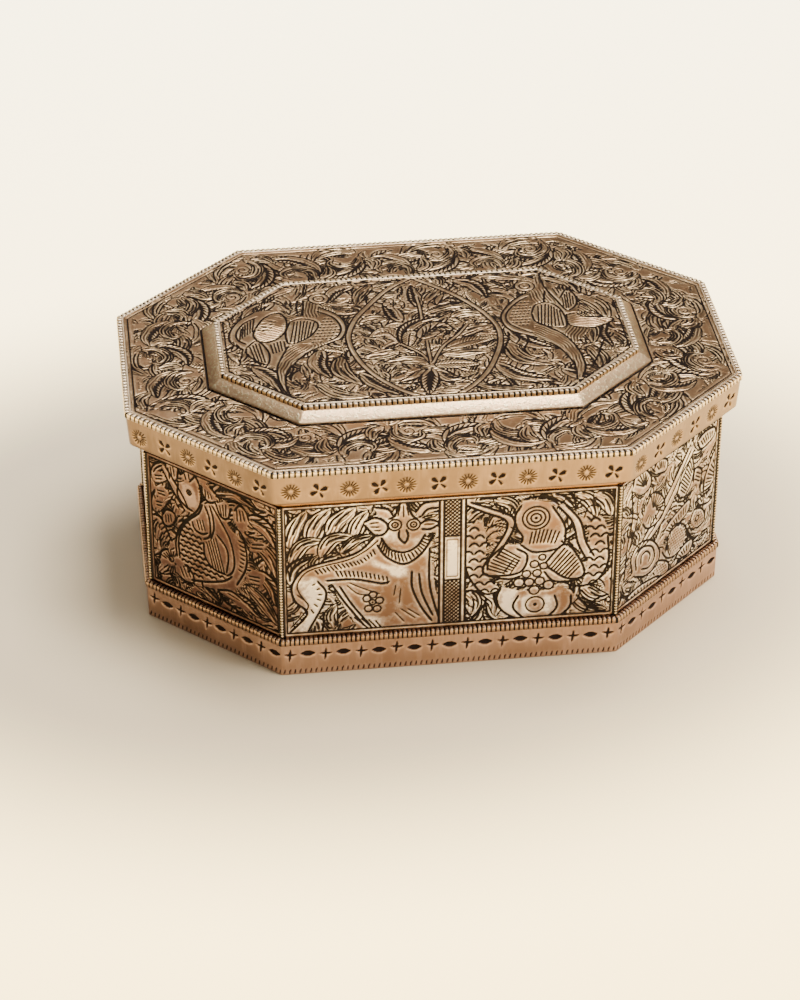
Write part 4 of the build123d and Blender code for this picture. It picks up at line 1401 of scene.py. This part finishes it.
plateOut = standsOut("lid_plate")
bossFootOut, bossPlateOut = standsOut("boss_moulding"), standsOut("boss_plate")
lidSettings = {
    "cell": 0.21,  # between the points of its mesh
    "drawingCell": 0.15,
    "ground": 0.06,
    "groundSpacing": 4.7,
    "hidden": (46, 24),  # the ground is left out nearer the middle than this, under the boss
    "sprigs": 30,
    "size": 1.08,
    "inOut": 2.9,  # every other sprig stands in or out by this much
    "shift": -0.4,
    "turn": 0.25,
    "plain": 2.3,  # width of the plain rim
    "plainDepth": 0.02,
    "scratches": 26,  # on each side of the rim
    "overlap": 0.6,  # how far it goes under the strip round the boss
    "frames": ((plateOut - 0.9, plateOut - 0.4, 0.4),  # place of a line, of its clear side, width
               (bossFootOut + 0.3, bossFootOut + 0.7, 0.75)),
}


def bandSides(inner, outer):
    # the corners of each side of a band between two outlines
    return zip(inner, onwards(inner), onwards(outer), outer)


def plainRim(sheet, dice, inner, outer):
    # an undecorated band beside the lid's edge, lightly scratched along it
    for corners in bandSides(outline(inner), outline(outer)):
        sheet.clear(corners, lidSettings["plainDepth"])
        a, b, c, d = corners
        for _ in range(lidSettings["scratches"]):
            first, across = dice.uniform(0, 0.8), dice.uniform(0, 1)
            start, end = a * (1 - across) + d * across, b * (1 - across) + c * across
            sheet.line([start * (1 - share) + end * share for share in (first, first + 0.14)], "lidScratch")


def drawLid(sheet):
    s = lidSettings
    dice = random.Random(4)
    endX, endY = s["hidden"]
    combedGround(sheet, dice, lambda u, v: abs(u) > endX or abs(v) > endY, s["groundSpacing"])
    plainRim(sheet, dice, plateOut - s["plain"], plateOut)
    middle = outline((plateOut + bossFootOut) / 2)
    steps = onwards(middle) - middle
    lengths = np.linalg.norm(steps, axis=1)
    runs = np.concatenate(([0], np.cumsum(lengths)))
    for k in range(s["sprigs"]):
        run = (k + 0.5) / s["sprigs"] * runs[-1]
        side = int(np.searchsorted(runs, run)) - 1
        along = steps[side] / lengths[side]
        normal = np.array((along[1], -along[0]))
        inOut = 1 if k % 2 else -1
        at = middle[side] + along * (run - runs[side]) + normal * (inOut * s["inOut"] + s["shift"])
        sprig(sheet, at, math.atan2(along[1], along[0]) + inOut * s["turn"], s["size"], inOut, dice)
    for line, clear, width in s["frames"]:
        for corners in bandSides(outline(line), outline(clear)):
            sheet.clear(corners)
            sheet.line(corners[:2], "frame", width)


def rimOf(across, up):
    # the grid's outer points in order, anticlockwise
    index = np.arange(across * up).reshape(up, across)
    return np.concatenate((index[0], index[1:, -1], index[-1, -2::-1], index[-2:0:-1, 0])).tolist()


def slab(name, node, sheet, u, v, levelRows, stands):
    # a closed sheet with a chased top, level along the given rows of its grid
    low, high = levels(node)
    up, across = u.shape
    deep = sheet.sampled(u, v, sheet.depth)
    deep[levelRows] = 0
    points = np.dstack((u, v, high - deep)).reshape(-1, 3)
    rim = rimOf(across, up)
    under = points[rim]
    under[:, 2] = low
    lower = [len(points) + k for k in range(len(rim))]
    faces = gridFaces(across, up)
    smooth = [True] * len(faces) + [False] * (len(rim) + 1)
    faces += zip(rim, lower, lower[1:] + lower[:1], rim[1:] + rim[:1])
    faces.append(lower[::-1])
    values = padded(chasedValues(sheet, u.ravel(), v.ravel()), len(rim))
    points = np.vstack((points, under))
    return meshPiece(name, points, faces, chasedTop, "lid", stands, smooth, values)


def chasedLid():
    s = lidSettings
    outer, inner = outline(plateOut), outline(bossFootOut - s["overlap"])
    reach = np.abs(outer).max(0) + 0.5
    sheet = Drawing(-reach, reach, s["drawingCell"], s["ground"])
    drawLid(sheet)
    sheet.finished()
    up = int((plateOut - bossFootOut + s["overlap"]) / s["cell"]) + 1
    for side, (a, b, c, d) in enumerate(bandSides(outer, inner)):
        across = int(np.linalg.norm(b - a) / s["cell"]) + 1
        along, inwards = np.meshgrid(np.linspace(0, 1, across), np.linspace(0, 1, up))
        along, inwards = along[..., None], inwards[..., None]
        flat = (a * (1 - along) + b * along) * (1 - inwards) + (d * (1 - along) + c * along) * inwards
        slab("chased_lid_" + sideNames[side], "lid_plate", sheet, flat[..., 0], flat[..., 1], [0],
             ["lid_plate"] if side == 0 else [])


chasedLid()
print("lid chased")


# chased top of the boss
ovalCurves = [
    [(-0.3, 29.2), (-6.6, 24), (-12, 16.8), (-16.3, 10), (-18.7, 3.2), (-19.1, -1.4), (-18.5, -6.7),
     (-16.6, -13.3), (-13.4, -19.6), (-8.8, -25.4), (-4, -29.2)],
    [(0.3, 29.2), (4.5, 25.1), (8.7, 20.8), (11.9, 16.6), (14.9, 11.8), (17.4, 6.4), (18.7, 1.1),
     (18.4, -4.7), (16.8, -10.5), (13.4, -18.6), (9.2, -24.6), (4.4, -29.2)],
]
bossLeaves = [  # the first twenty grow inside the oval
    ([(-7.1, -6.8), (-11.6, -8.3), (-16.4, -9.2)], 4.6, "long"),
    ([(-6.7, -2.1), (-9.5, 2.7), (-13.9, 0.6)], 4.8, "cross"),
    ([(-5.1, 7.1), (-6.9, 13), (-8.6, 16.6)], 4, "half"),
    ([(-8.3, 8.4), (-12.2, 9.2), (-15.8, 7.1)], 4, "long"),
    ([(0.4, 13.8), (-0.3, 20.8), (-0.5, 25.4)], 3.4, "half"),
    ([(1.9, 16), (4.2, 19.4), (6.7, 22.7)], 4.2, "long"),
    ([(4.8, 14.7), (8.4, 18), (11.4, 15.5)], 4.6, "ribs"),
    ([(1.1, 10.2), (5.8, 12.6), (11, 13.8), (13.6, 11.9)], 3.2, "long"),
    ([(7.6, 8.1), (11.9, 9.7), (16.4, 8.2)], 4.2, "long"),
    ([(-5.8, -4.5), (-4.4, 3), (-0.1, 7.1), (5.8, 8.8)], 3.8, "half"),
    ([(-4.9, -5.2), (-3.4, 1.2), (-1.1, -0.7)], 3.8, "cross"),
    ([(-1.6, -1.8), (3.5, 3.7), (7.4, 1.7)], 5.6, "ribs"),
    ([(8.1, -1.2), (12.8, 2), (17.8, 2.9)], 4.6, "long"),
    ([(4.6, -6.9), (10.5, -4.3), (17.3, -3.5)], 4.6, "cross"),
    ([(2.9, -10.3), (9.5, -9.5), (15.3, -9.8)], 4.2, "long"),
    ([(-0.5, -14.2), (-4.3, -11.6), (-11.9, -12.4)], 4.2, "long"),
    ([(0.4, -14.8), (5.8, -14.6), (11.8, -15.5)], 4.2, "cross"),
    ([(-1.5, -16.5), (-4.7, -20.4), (-9, -21.9)], 4, "half"),
    ([(0.6, -16.6), (3.3, -20.9), (7.1, -21.7)], 4, "half"),
    ([(-0.3, -16), (-1.5, -21.8), (-2.4, -28.2)], 4.4, "ribs"),
    ([(-15, 26.6), (-20, 24.6), (-22.6, 18.6)], 4, "half"),
    ([(-10.6, 27), (-14, 22), (-15.4, 16.6)], 3.8, "long"),
    ([(-30, 27.6), (-36.6, 25), (-40.6, 18)], 4.6, "long"),
    ([(-36, 20.6), (-41.6, 16.6), (-44.6, 9)], 4.8, "half"),
    ([(-46, 8), (-43.6, -1), (-46.6, -9)], 4.2, "long"),
    ([(-44, -10), (-39.6, -16), (-37.6, -23)], 4.8, "half"),
    ([(-39, -6), (-36, -12), (-38, -18)], 4, "long"), ([(-26, -4), (-28, -11), (-25, -18)], 4.8, "half"),
    ([(-22, -8), (-22.4, -15), (-18, -22)], 4.8, "long"),
    ([(-29, -20), (-24, -25.6), (-16.6, -27.6)], 4.4, "long"),
    ([(-18, -16), (-14.6, -22), (-8.6, -27.6)], 4, "half"),
    ([(10.5, 27), (15.5, 23.6), (18.1, 17)], 4.2, "half"),
    ([(16.5, 28), (22.5, 27.6), (29.5, 25)], 4, "long"), ([(32.5, 26.6), (39.5, 23), (42, 16)], 4.8, "half"),
    ([(41, 15), (45.6, 10), (47, 2)], 4.6, "long"), ([(45.6, 2), (43, -4), (45.6, -11)], 4.4, "half"),
    ([(40.5, 4), (41.6, -2), (41.1, -9)], 4.4, "long"),
    ([(20.5, 2), (24.5, -6), (32.1, -10.6)], 4.8, "half"),
    ([(19.5, -6), (22.5, -14), (30.5, -18)], 5, "long"),
    ([(15.5, -15), (20.5, -22), (29.5, -25)], 4.8, "half"),
    ([(8.5, -24), (14.5, -27.4), (23.5, -27.6)], 3.6, "long"),
    ([(39.5, -10), (41.6, -16), (41.1, -22)], 4.4, "long"),
    ([(31.1, -20), (35.5, -24), (38.9, -27)], 3.6, "half"),
]
bossStems = [
    [(0, -14.2), (-2.1, -8.8), (-6.5, -3.6)], [(-0.1, -13.6), (0, -7.2), (0.2, -2.5)],
    [(0.3, -13.7), (3.7, -6.2), (8.3, -0.6), (11.4, 4.4)], [(0.2, 8.5), (0.4, 13.8), (0.2, 19.6)],
]
bossSettings = {"ground": 0.06, "groundSpacing": 3.2, "bold": 0.62, "prick": 0.42}


def drawBoss(sheet):
    combedGround(sheet, random.Random(9), None, bossSettings["groundSpacing"])
    leaves(sheet, bossLeaves)
    for stem in bossStems:
        cord(sheet, stem, 0.9)
    flower(sheet, (-6.0, 16.4), 2.8)
    for curve in ovalCurves:
        cord(sheet, curve, 1.4, 0.5)
    for bird in (leftBird, rightBird):
        chase(sheet, bird, bold=bossSettings["bold"], prick=bossSettings["prick"])
    sheet.outlined(outline(bossPlateOut - 0.7), "edge")


def chasedBoss():
    # a left and a right half, each a grid that narrows towards the box's end
    corners = outline(bossPlateOut)
    reach = np.abs(corners).max(0)
    sideX, endY = np.abs(corners).min(0)
    sheet = Drawing(-reach - 0.5, reach + 0.5, ground=bossSettings["ground"])
    drawBoss(sheet)
    sheet.finished()
    across, up = int(reach[0] / lidSettings["cell"]) + 1, int(2 * reach[1] / lidSettings["cell"]) + 1
    share, t = np.meshgrid(np.linspace(0, 1, across), np.linspace(-1, 1, up))
    for hand, name in ((-1, "left"), (1, "right")):
        x = np.abs(share - (1 if hand < 0 else 0)) * reach[0]
        narrowing = (endY - reach[1]) * (x - sideX) / (reach[0] - sideX)
        half = np.where(x > sideX, reach[1] + narrowing, reach[1])
        slab("chased_boss_" + name, "boss_plate", sheet, hand * x, t * half, [0, -1],
             ["boss_plate"] if hand < 0 else [])


chasedBoss()
print("boss chased")


# bands with punched marks: the lid's skirt and the plinth
skirtSettings = {
    "bend": 2.5,  # radius of its corners
    "sheet": 1.1,  # thickness
    "cell": 0.25,  # between the points of its mesh
    "lip": 0.18,  # how far its lower edge turns in
    "marks": 12,  # on the front and the back
    "chamferMarks": 6,
    "markHeight": 0.44,  # share of the band's height
    "scratches": 160,
}
plinthSettings = {
    "bend": 0.7,
    "sheet": 1.1,
    "cell": 0.28,
    "lip": 0.15,
    "pitch": 4.4,  # between marks
    "markHeight": 0.66,
    "tickPitch": 1.3,
}


def outAt(node, level):
    # how far the piece stands out from the walls at this height
    points = cornersOf(node)
    return points[np.abs(points[:, 2] - level) < 0.02][:, 0].max() - floorPlan[:, 0].max()


def stampedBand(name, node, body, s, draw, finish):
    # a bent sheet round the box: its marked outer face, then its plain back
    low, high = levels(node)
    outLow, outHigh = outAt(node, low), outAt(node, high)
    middle, _, sides = roundedOutline((outLow + outHigh) / 2, s["bend"], s["cell"])
    run = np.concatenate(([0], np.cumsum(np.linalg.norm(onwards(middle) - middle, axis=1))))
    run, total = run[:-1], run[-1]
    corners = [run[np.flatnonzero(sides == side)[-3]] for side in range(sideCount)]
    corners = [corners[-1] - total, *corners]
    sheet = Drawing((0, 0), (total, high - low))
    draw(sheet, corners, high - low)
    sheet.finished()
    foot = low + np.array((0, 0.06, 0.18))  # close rows, for the lip
    rows, shades = [], {"cut": [], "sheenAndWear": []}
    for level in (*foot, *np.linspace(low + 0.4, high, int((high - low) / s["cell"]))):
        out = outLow + (outHigh - outLow) * (level - low) / (high - low)
        lip = s["lip"] * max(0, 1 - (level - low) / 0.3) ** 2
        ring, normals, _ = roundedOutline(out - lip, s["bend"], s["cell"])
        v = np.full(len(run), level - low)
        deep = sheet.sampled(run, v, sheet.depth)
        rows.append(np.column_stack((ring - normals * deep[:, None], np.full(len(run), level))))
        for key, value in chasedValues(sheet, run, v, False).items():
            shades[key].append(value)
    count = len(run)
    for level, out in ((high, outHigh), (low, outLow)):
        ring, _, _ = roundedOutline(out - s["sheet"], max(s["bend"] - s["sheet"], 0.02), s["cell"])
        rows.append(np.column_stack((ring, np.full(count, level))))
    smooth = [True] * (count * (len(rows) - 3)) + [False] * (count * 3)
    values = padded({key: np.concatenate(value) for key, value in shades.items()}, 2 * count)
    faces = bandFaces(len(rows), count, closed=True)
    return meshPiece(name, np.vstack(rows), faces, finish, body, [node], smooth, values)


def sunMark(sheet, at, radius=2.3, rays=16):
    for k in range(rays):
        ray = rayTo(2 * math.pi * k / rays)
        sheet.line([at + ray * radius * 0.27, at + ray * radius], "sunRay")


def cloverMark(sheet, at, turn, radius=2.1):
    # four wedges round a plain middle, the last one thinner
    for k in range(4):
        ray = rayTo(turn + k * math.pi / 2)
        wedge = [at + ray * radius, at + ray * radius * 0.55, at + ray * 0.5]
        sheet.line(wedge, "clover", 0.7 if k == 3 else None)


def drawSkirt(sheet, corners, height):
    s = skirtSettings
    dice = random.Random(6)
    for side, name in enumerate(sideNames):
        count = s["marks"] if name in ("front", "back") else s["chamferMarks"]
        length = corners[side + 1] - corners[side]
        for k in range(count):
            share = (k + 0.55) / (count + 0.1) + dice.uniform(-0.008, 0.008)
            up = height * (s["markHeight"] + dice.uniform(-0.02, 0.02))
            at = np.array((corners[side] + length * share, up))
            if k % 2 == 0:
                sunMark(sheet, at)
            else:
                cloverMark(sheet, at, dice.uniform(0.4, 1.2))
    for _ in range(s["scratches"]):
        at = np.array((dice.uniform(0, corners[-1]), dice.uniform(0.5, height)))
        sheet.line([at, at + (dice.uniform(-2.5, 2.5), dice.uniform(-0.6, 0.6))], "skirtScratch")


def drawPlinth(sheet, corners, height):
    s = plinthSettings
    dice = random.Random(8)
    for side in range(sideCount):
        length = corners[side + 1] - corners[side]
        count, ticks = round(length / s["pitch"]), round(length / s["tickPitch"])
        for k in range(count):
            up = height * (s["markHeight"] + dice.uniform(-0.03, 0.03))
            at = np.array((corners[side] + length * (k + 0.5) / count, up))
            if k % 2:
                sheet.line([at + (x, 0) for x in (-1.5, -0.2, 0.2, 1.5)], "pod")
            else:
                for ray in ((1.55, 0.25), (0.15, 1.75), (-1.4, 0.35), (-0.2, -1.7)):
                    sheet.line([at, at + ray], "star")
        for k in range(ticks):
            at = np.array((corners[side] + length * (k + 0.5) / ticks, 0.35))
            sheet.line([at, at + (0.3, 1.35)], "tick")


# beads: rows of small teeth set out along a path by geometry nodes
beadSettings = {  # pitch and gap run along the row, bend round the box's corners
    "lid": {"node": "lid_bead", "body": "lid", "finish": beadMetal,
            "pitch": 1.35, "gap": 0.42, "round": 0.36, "bend": 1.2, "lip": 0.5},
    "boss": {"node": "boss_bead", "body": "lid", "finish": beadMetal,
             "pitch": 1.35, "gap": 0.42, "round": 0.3, "bend": 0.9, "lip": 0.45},
    "plinth": {"node": "plinth_bead", "body": "box", "finish": beadBronze,
               "pitch": 1.15, "gap": 0.36, "round": 0.6, "bend": 0.9, "lip": 0},
    "corner": {"pitch": 0.82, "radius": 0.37, "out": 0.12},
    "uneven": ((0.90, 0.95, 0.93), (1.12, 1.0, 1.0)),  # smallest and largest size of a bead
    "seed": 5,
}
lipSettings = {"radius": 0.16, "lower": 0.04, "overlap": 0.08}
coreSettings = {"wide": 0.8, "tall": 0.84}  # shares of the teeth's section


def beadTree(s):
    tree = bpy.data.node_groups.new("beadRow", "GeometryNodeTree")
    tree.is_modifier = True
    for name, kind in (("Path", "Geometry"), ("Bead", "Object"), ("Count", "Int"), ("Finish", "Material")):
        tree.interface.new_socket(name, in_out="INPUT", socket_type="NodeSocket" + kind)
    tree.interface.new_socket("Row", in_out="OUTPUT", socket_type="NodeSocketGeometry")

    def add(kind, **settings):
        node = tree.nodes.new(kind)
        for key, value in settings.items():
            setattr(node, key, value)
        return node

    given = add("NodeGroupInput")
    curve = add("GeometryNodeMeshToCurve")
    points = add("GeometryNodeCurveToPoints", mode="COUNT")
    turn = add("FunctionNodeAlignRotationToVector", axis="X", pivot_axis="Z")
    bead = add("GeometryNodeObjectInfo")
    uneven = add("FunctionNodeRandomValue", data_type="FLOAT_VECTOR")
    uneven.inputs[0].default_value, uneven.inputs[1].default_value = s["uneven"]
    uneven.inputs["Seed"].default_value = s["seed"]
    row = add("GeometryNodeInstanceOnPoints")
    real = add("GeometryNodeRealizeInstances")
    finish = add("GeometryNodeSetMaterial")
    result = add("NodeGroupOutput")
    for start, output, end, socket in (
            (given, "Path", curve, "Mesh"), (curve, "Curve", points, "Curve"),
            (given, "Count", points, "Count"), (points, "Tangent", turn, "Vector"),
            (given, "Bead", bead, "Object"), (points, "Points", row, "Points"),
            (bead, "Geometry", row, "Instance"), (turn, "Rotation", row, "Rotation"),
            (uneven, 0, row, "Scale"), (row, "Instances", real, "Geometry"),
            (real, "Geometry", finish, "Geometry"), (given, "Finish", finish, "Material"),
            (finish, "Geometry", result, "Row")):
        tree.links.new(start.outputs[output], end.inputs[socket])
    return tree


beadRow = beadTree(beadSettings)


def beadsAlong(name, path, bead, count, finish):
    # runs the tree on a path and keeps what it makes as a plain mesh
    rig = path.modifiers.new("beads", "NODES")
    rig.node_group = beadRow
    given = {"Bead": bead, "Count": count, "Finish": finish}
    for socket in beadRow.interface.items_tree:
        if socket.in_out == "INPUT" and socket.name in given:
            rig[socket.identifier] = given[socket.name]
    bpy.context.view_layer.update()
    ready = path.evaluated_get(bpy.context.evaluated_depsgraph_get())
    mesh = bpy.data.meshes.new_from_object(ready)
    mesh.name = name
    path.modifiers.remove(rig)
    for used in (path, bead):
        bpy.data.objects.remove(used)
    return addObject(name, mesh)


def roundedSection(wide, tall, radius):
    # a bar's section, anticlockwise: flat foot, rounded top; across runs from -wide/2 to wide/2
    section = [(-wide / 2, 0), (wide / 2, 0)]
    for centre, start in ((wide / 2 - radius, 0), (radius - wide / 2, 90)):
        for angle in (0, 30, 60, 90):
            turn = math.radians(start + angle)
            section.append((centre + radius * math.cos(turn), tall - radius + radius * math.sin(turn)))
    return section


def tooth(length, wide, tall, radius):
    # one tooth, its length along x, outer side towards -y, foot on z = 0
    section = roundedSection(wide, tall, radius)
    rings = []
    for x, size in ((-length / 2, 0.8), (-length * 0.34, 1), (length * 0.34, 1), (length / 2, 0.8)):
        rings += [(x, y * (1 + size) / 2, z * (size + 1) / 2) for y, z in section]
    n = len(section)
    faces = [[ring * n + k, (ring + 1) * n + k, (ring + 1) * n + (k + 1) % n, ring * n + (k + 1) % n]
             for ring in range(3) for k in range(n)]
    faces += [list(range(n)), [3 * n + k for k in range(n)][::-1]]
    return addMesh("tooth", rings, (), faces, True)


def toothedBead(s):
    # a row of teeth standing round a dark core, with a smooth lip inside it where there is one
    node, body, bend = s["node"], s["body"], s["bend"]
    low, high = levels(node)
    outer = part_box(node)[1].x / mm - floorPlan[:, 0].max()
    plan = cornersOf(node)
    end = plan[(np.abs(plan[:, 1]) < 0.6 * plan[:, 1].max()) & (plan[:, 0] > 0)]
    inner = end[:, 0].min() - floorPlan[:, 0].max()
    if s["lip"]:
        section = roundedSection(s["lip"], high - low - lipSettings["lower"], lipSettings["radius"])
        lip = [(inner + s["lip"] / 2 + y, low + z) for y, z in section]
        ringBar(node + "_lip", lip, s["finish"], body, (), bend)
        inner += s["lip"] - lipSettings["overlap"]
    wide, tall, middle = outer - inner, high - low, (outer + inner) / 2
    path, _, _ = roundedOutline(middle, bend, oneStep)
    edges = [(k, (k + 1) % len(path)) for k in range(len(path))]
    length = np.linalg.norm(onwards(path) - path, axis=1).sum()
    count = round(length / s["pitch"])
    wire = addMesh("wire", np.column_stack((path, np.full(len(path), low))), edges)
    bead = tooth(length / count - s["gap"], wide, tall, s["round"])
    settle(beadsAlong(node + "_teeth", wire, bead, count, s["finish"]), body, [node])
    section = roundedSection(wide, tall, s["round"])[::-1]
    core = [(middle - y * coreSettings["wide"], low + z * coreSettings["tall"]) for y, z in section]
    ringBar(node + "_core", core, notchFloor, body, (), bend)


def ball(radius, around=8):
    points = [(0, 0, -radius)]
    for tilt in (-50, -17, 17, 50):
        ring, height = radius * math.cos(math.radians(tilt)), radius * math.sin(math.radians(tilt))
        for k in range(around):
            turn = math.radians(360 / around * k)
            points.append((ring * math.cos(turn), ring * math.sin(turn), height))
    points.append((0, 0, radius))
    top = len(points) - 1
    ends = [(k, (k + 1) % around) for k in range(around)]
    faces = [(0, 1 + on, 1 + k) for k, on in ends]
    faces += bandFaces(4, around, start=1)
    faces += [(top, top - around + k, top - around + on) for k, on in ends]
    return addMesh("ball", points, (), faces, True)


def cornerBeads(s):
    # a string of round beads up each corner of the walls
    low, high = plinthTop, levels("corner_bead_front_left")[1]
    points, edges = [], []
    for k, (x, y) in enumerate(outline(s["out"])):
        points += [(x, y, low + s["radius"]), (x, y, high - s["radius"])]
        edges.append((2 * k, 2 * k + 1))
    count = round((high - low - 2 * s["radius"]) / s["pitch"]) + 1
    row = beadsAlong("corner_beads", addMesh("wires", points, edges), ball(s["radius"]), count, beadMetal)
    settle(row, "box")


slopeSettings = {"in": 2.7, "back": 2.6, "bend": 1.2}


def bossMoulding(s):
    # the sloping strip round the boss, softly rounded at its foot and shoulder
    low, high = levels("boss_moulding")
    foot, top = bossFootOut, bossFootOut - s["in"]
    profile = [(foot, low), (foot - 0.06, low + 0.22), (foot - 0.3, low + 0.46), (foot - 1.4, low + 1.36),
               (top + 0.12, high - 0.1), (top - 0.1, high), (top - s["back"], high), (foot - s["back"], low)]
    ringBar("boss_slope", profile, plainBoss, "lid", ["boss_moulding"], s["bend"])


bossMoulding(slopeSettings)
stampedBand("stamped_skirt", "lid_skirt", "lid", skirtSettings, drawSkirt, skirtBronze)
stampedBand("stamped_plinth", "plinth_band", "box", plinthSettings, drawPlinth, plinthBronze)
for row in ("lid", "boss", "plinth"):
    toothedBead(beadSettings[row])
cornerBeads(beadSettings["corner"])
print("bands and beads made")


# plain pieces of the frame
def dress(node, finish):
    nodes[node].data.materials.clear()
    nodes[node].data.materials.append(finish)


for node in ("collar", "floor_plate", "lid_inner_plate"):
    dress(node, plainCollar)
for node in nodes:
    if node.startswith("corner_bead"):
        dress(node, notchFloor)


# floor and light
stageSettings = {
    "near": (0.84, 0.67, 0.40),
    "far": (0.93, 0.88, 0.74),
    "glowNear": (1.0, 0.72, 0.27),
    "glowFar": (1.0, 0.86, 0.50),
    "glow": 5.4,
    "fade": (-0.2, 0.35),  # metres behind the middle where near starts to turn into far
    "shadowPool": (0.075, 0.155),  # metres from the box where the glow starts and is full; nearer in, the unlit floor is a painted shadow
    "shadowPoolShift": (0.022, 0.0, 0.0),
    "shadowPoolShape": (0.72, 1.0, 0.0),
    "reach": 3.0,
}


def addFloor(s):
    # the floor glows, painted light that also lights the box and shows in its metal; the unlit pool round
    # the box is a painted shadow
    f = Finish("pale_floor")
    where = f.place()
    depth = f.node("ShaderNodeSeparateXYZ", {}, (where,), "Y").between(*s["fade"])
    beside = f.node("ShaderNodeVectorMath", {"operation": "ADD"}, (where, s["shadowPoolShift"]), "Vector")
    flat = f.node("ShaderNodeVectorMath", {"operation": "MULTIPLY"}, (beside, s["shadowPoolShape"]), "Vector")
    shadowPool = f.node("ShaderNodeVectorMath", {"operation": "LENGTH"}, (flat,), "Value").between(*s["shadowPool"])
    glow = f.mixed(depth, s["glowNear"], s["glowFar"])
    finish = f.made({
        "Base Color": f.mixed(depth, s["near"], s["far"]),
        "Emission Color": f.mixed(shadowPool * shadowPool * (3.0 - shadowPool * 2.0), (0.0, 0.0, 0.0), glow),
        "Emission Strength": s["glow"],
        "Roughness": 0.9,
    })
    r = s["reach"] / mm
    floor = addMesh("floor", [(-r, -r, 0), (r, -r, 0), (r, r, 0), (-r, r, 0)], (), [(0, 1, 2, 3)])
    floor.data.materials.append(finish)


lightSettings = [  # name, place, size, power, colour; all look at the box
    ("overhead", (0.20, 0.02, 1.0), (0.5, 0.4), 15, (1.0, 0.94, 0.86)),
    ("right", (0.9, -0.6, 0.55), (0.3, 0.5), 5.4, (1.0, 0.95, 0.88)),
    ("back", (-0.3, 1.0, 0.9), (0.6, 0.3), 2.5, (1.0, 0.94, 0.86)),
]
skySettings = {
    "low": (0.10, 0.09, 0.08),
    "high": (0.90, 0.86, 0.80),
    "strength": 0.9,
    "start": 0.40,
    "end": 0.98,
    "up": (0.34, -0.05, 0.94),  # the sky is brightest towards here
}
lightTarget = Vector((0, 0, 0.03))


def addLights():
    for name, place, size, power, colour in lightSettings:
        data = bpy.data.lights.new(name, "AREA")
        data.shape = "RECTANGLE"
        data.size, data.size_y = size
        data.energy = power
        data.color = colour
        light = addObject(name, data)
        light.location = place
        light.rotation_euler = (Vector(place) - lightTarget).to_track_quat("Z", "Y").to_euler()


def addSky(s):
    world = bpy.data.worlds.new("studio")
    bpy.context.scene.world = world
    world.use_nodes = True
    sky = Tree(world.node_tree)
    where = sky.node("ShaderNodeTexCoord", {}, (), "Generated")
    height = sky.node("ShaderNodeVectorMath", {"operation": "DOT_PRODUCT"}, (where, s["up"]), "Value")
    stops = ((s["start"], s["low"]), (s["end"], s["high"]))
    colour = sky.node("ShaderNodeValToRGB", {"stops": stops}, (height,), "Color")
    sky.put(sky.nodes["Background"].inputs["Color"], colour)
    sky.put(sky.nodes["Background"].inputs["Strength"], s["strength"])


addFloor(stageSettings)
addLights()
addSky(skySettings)
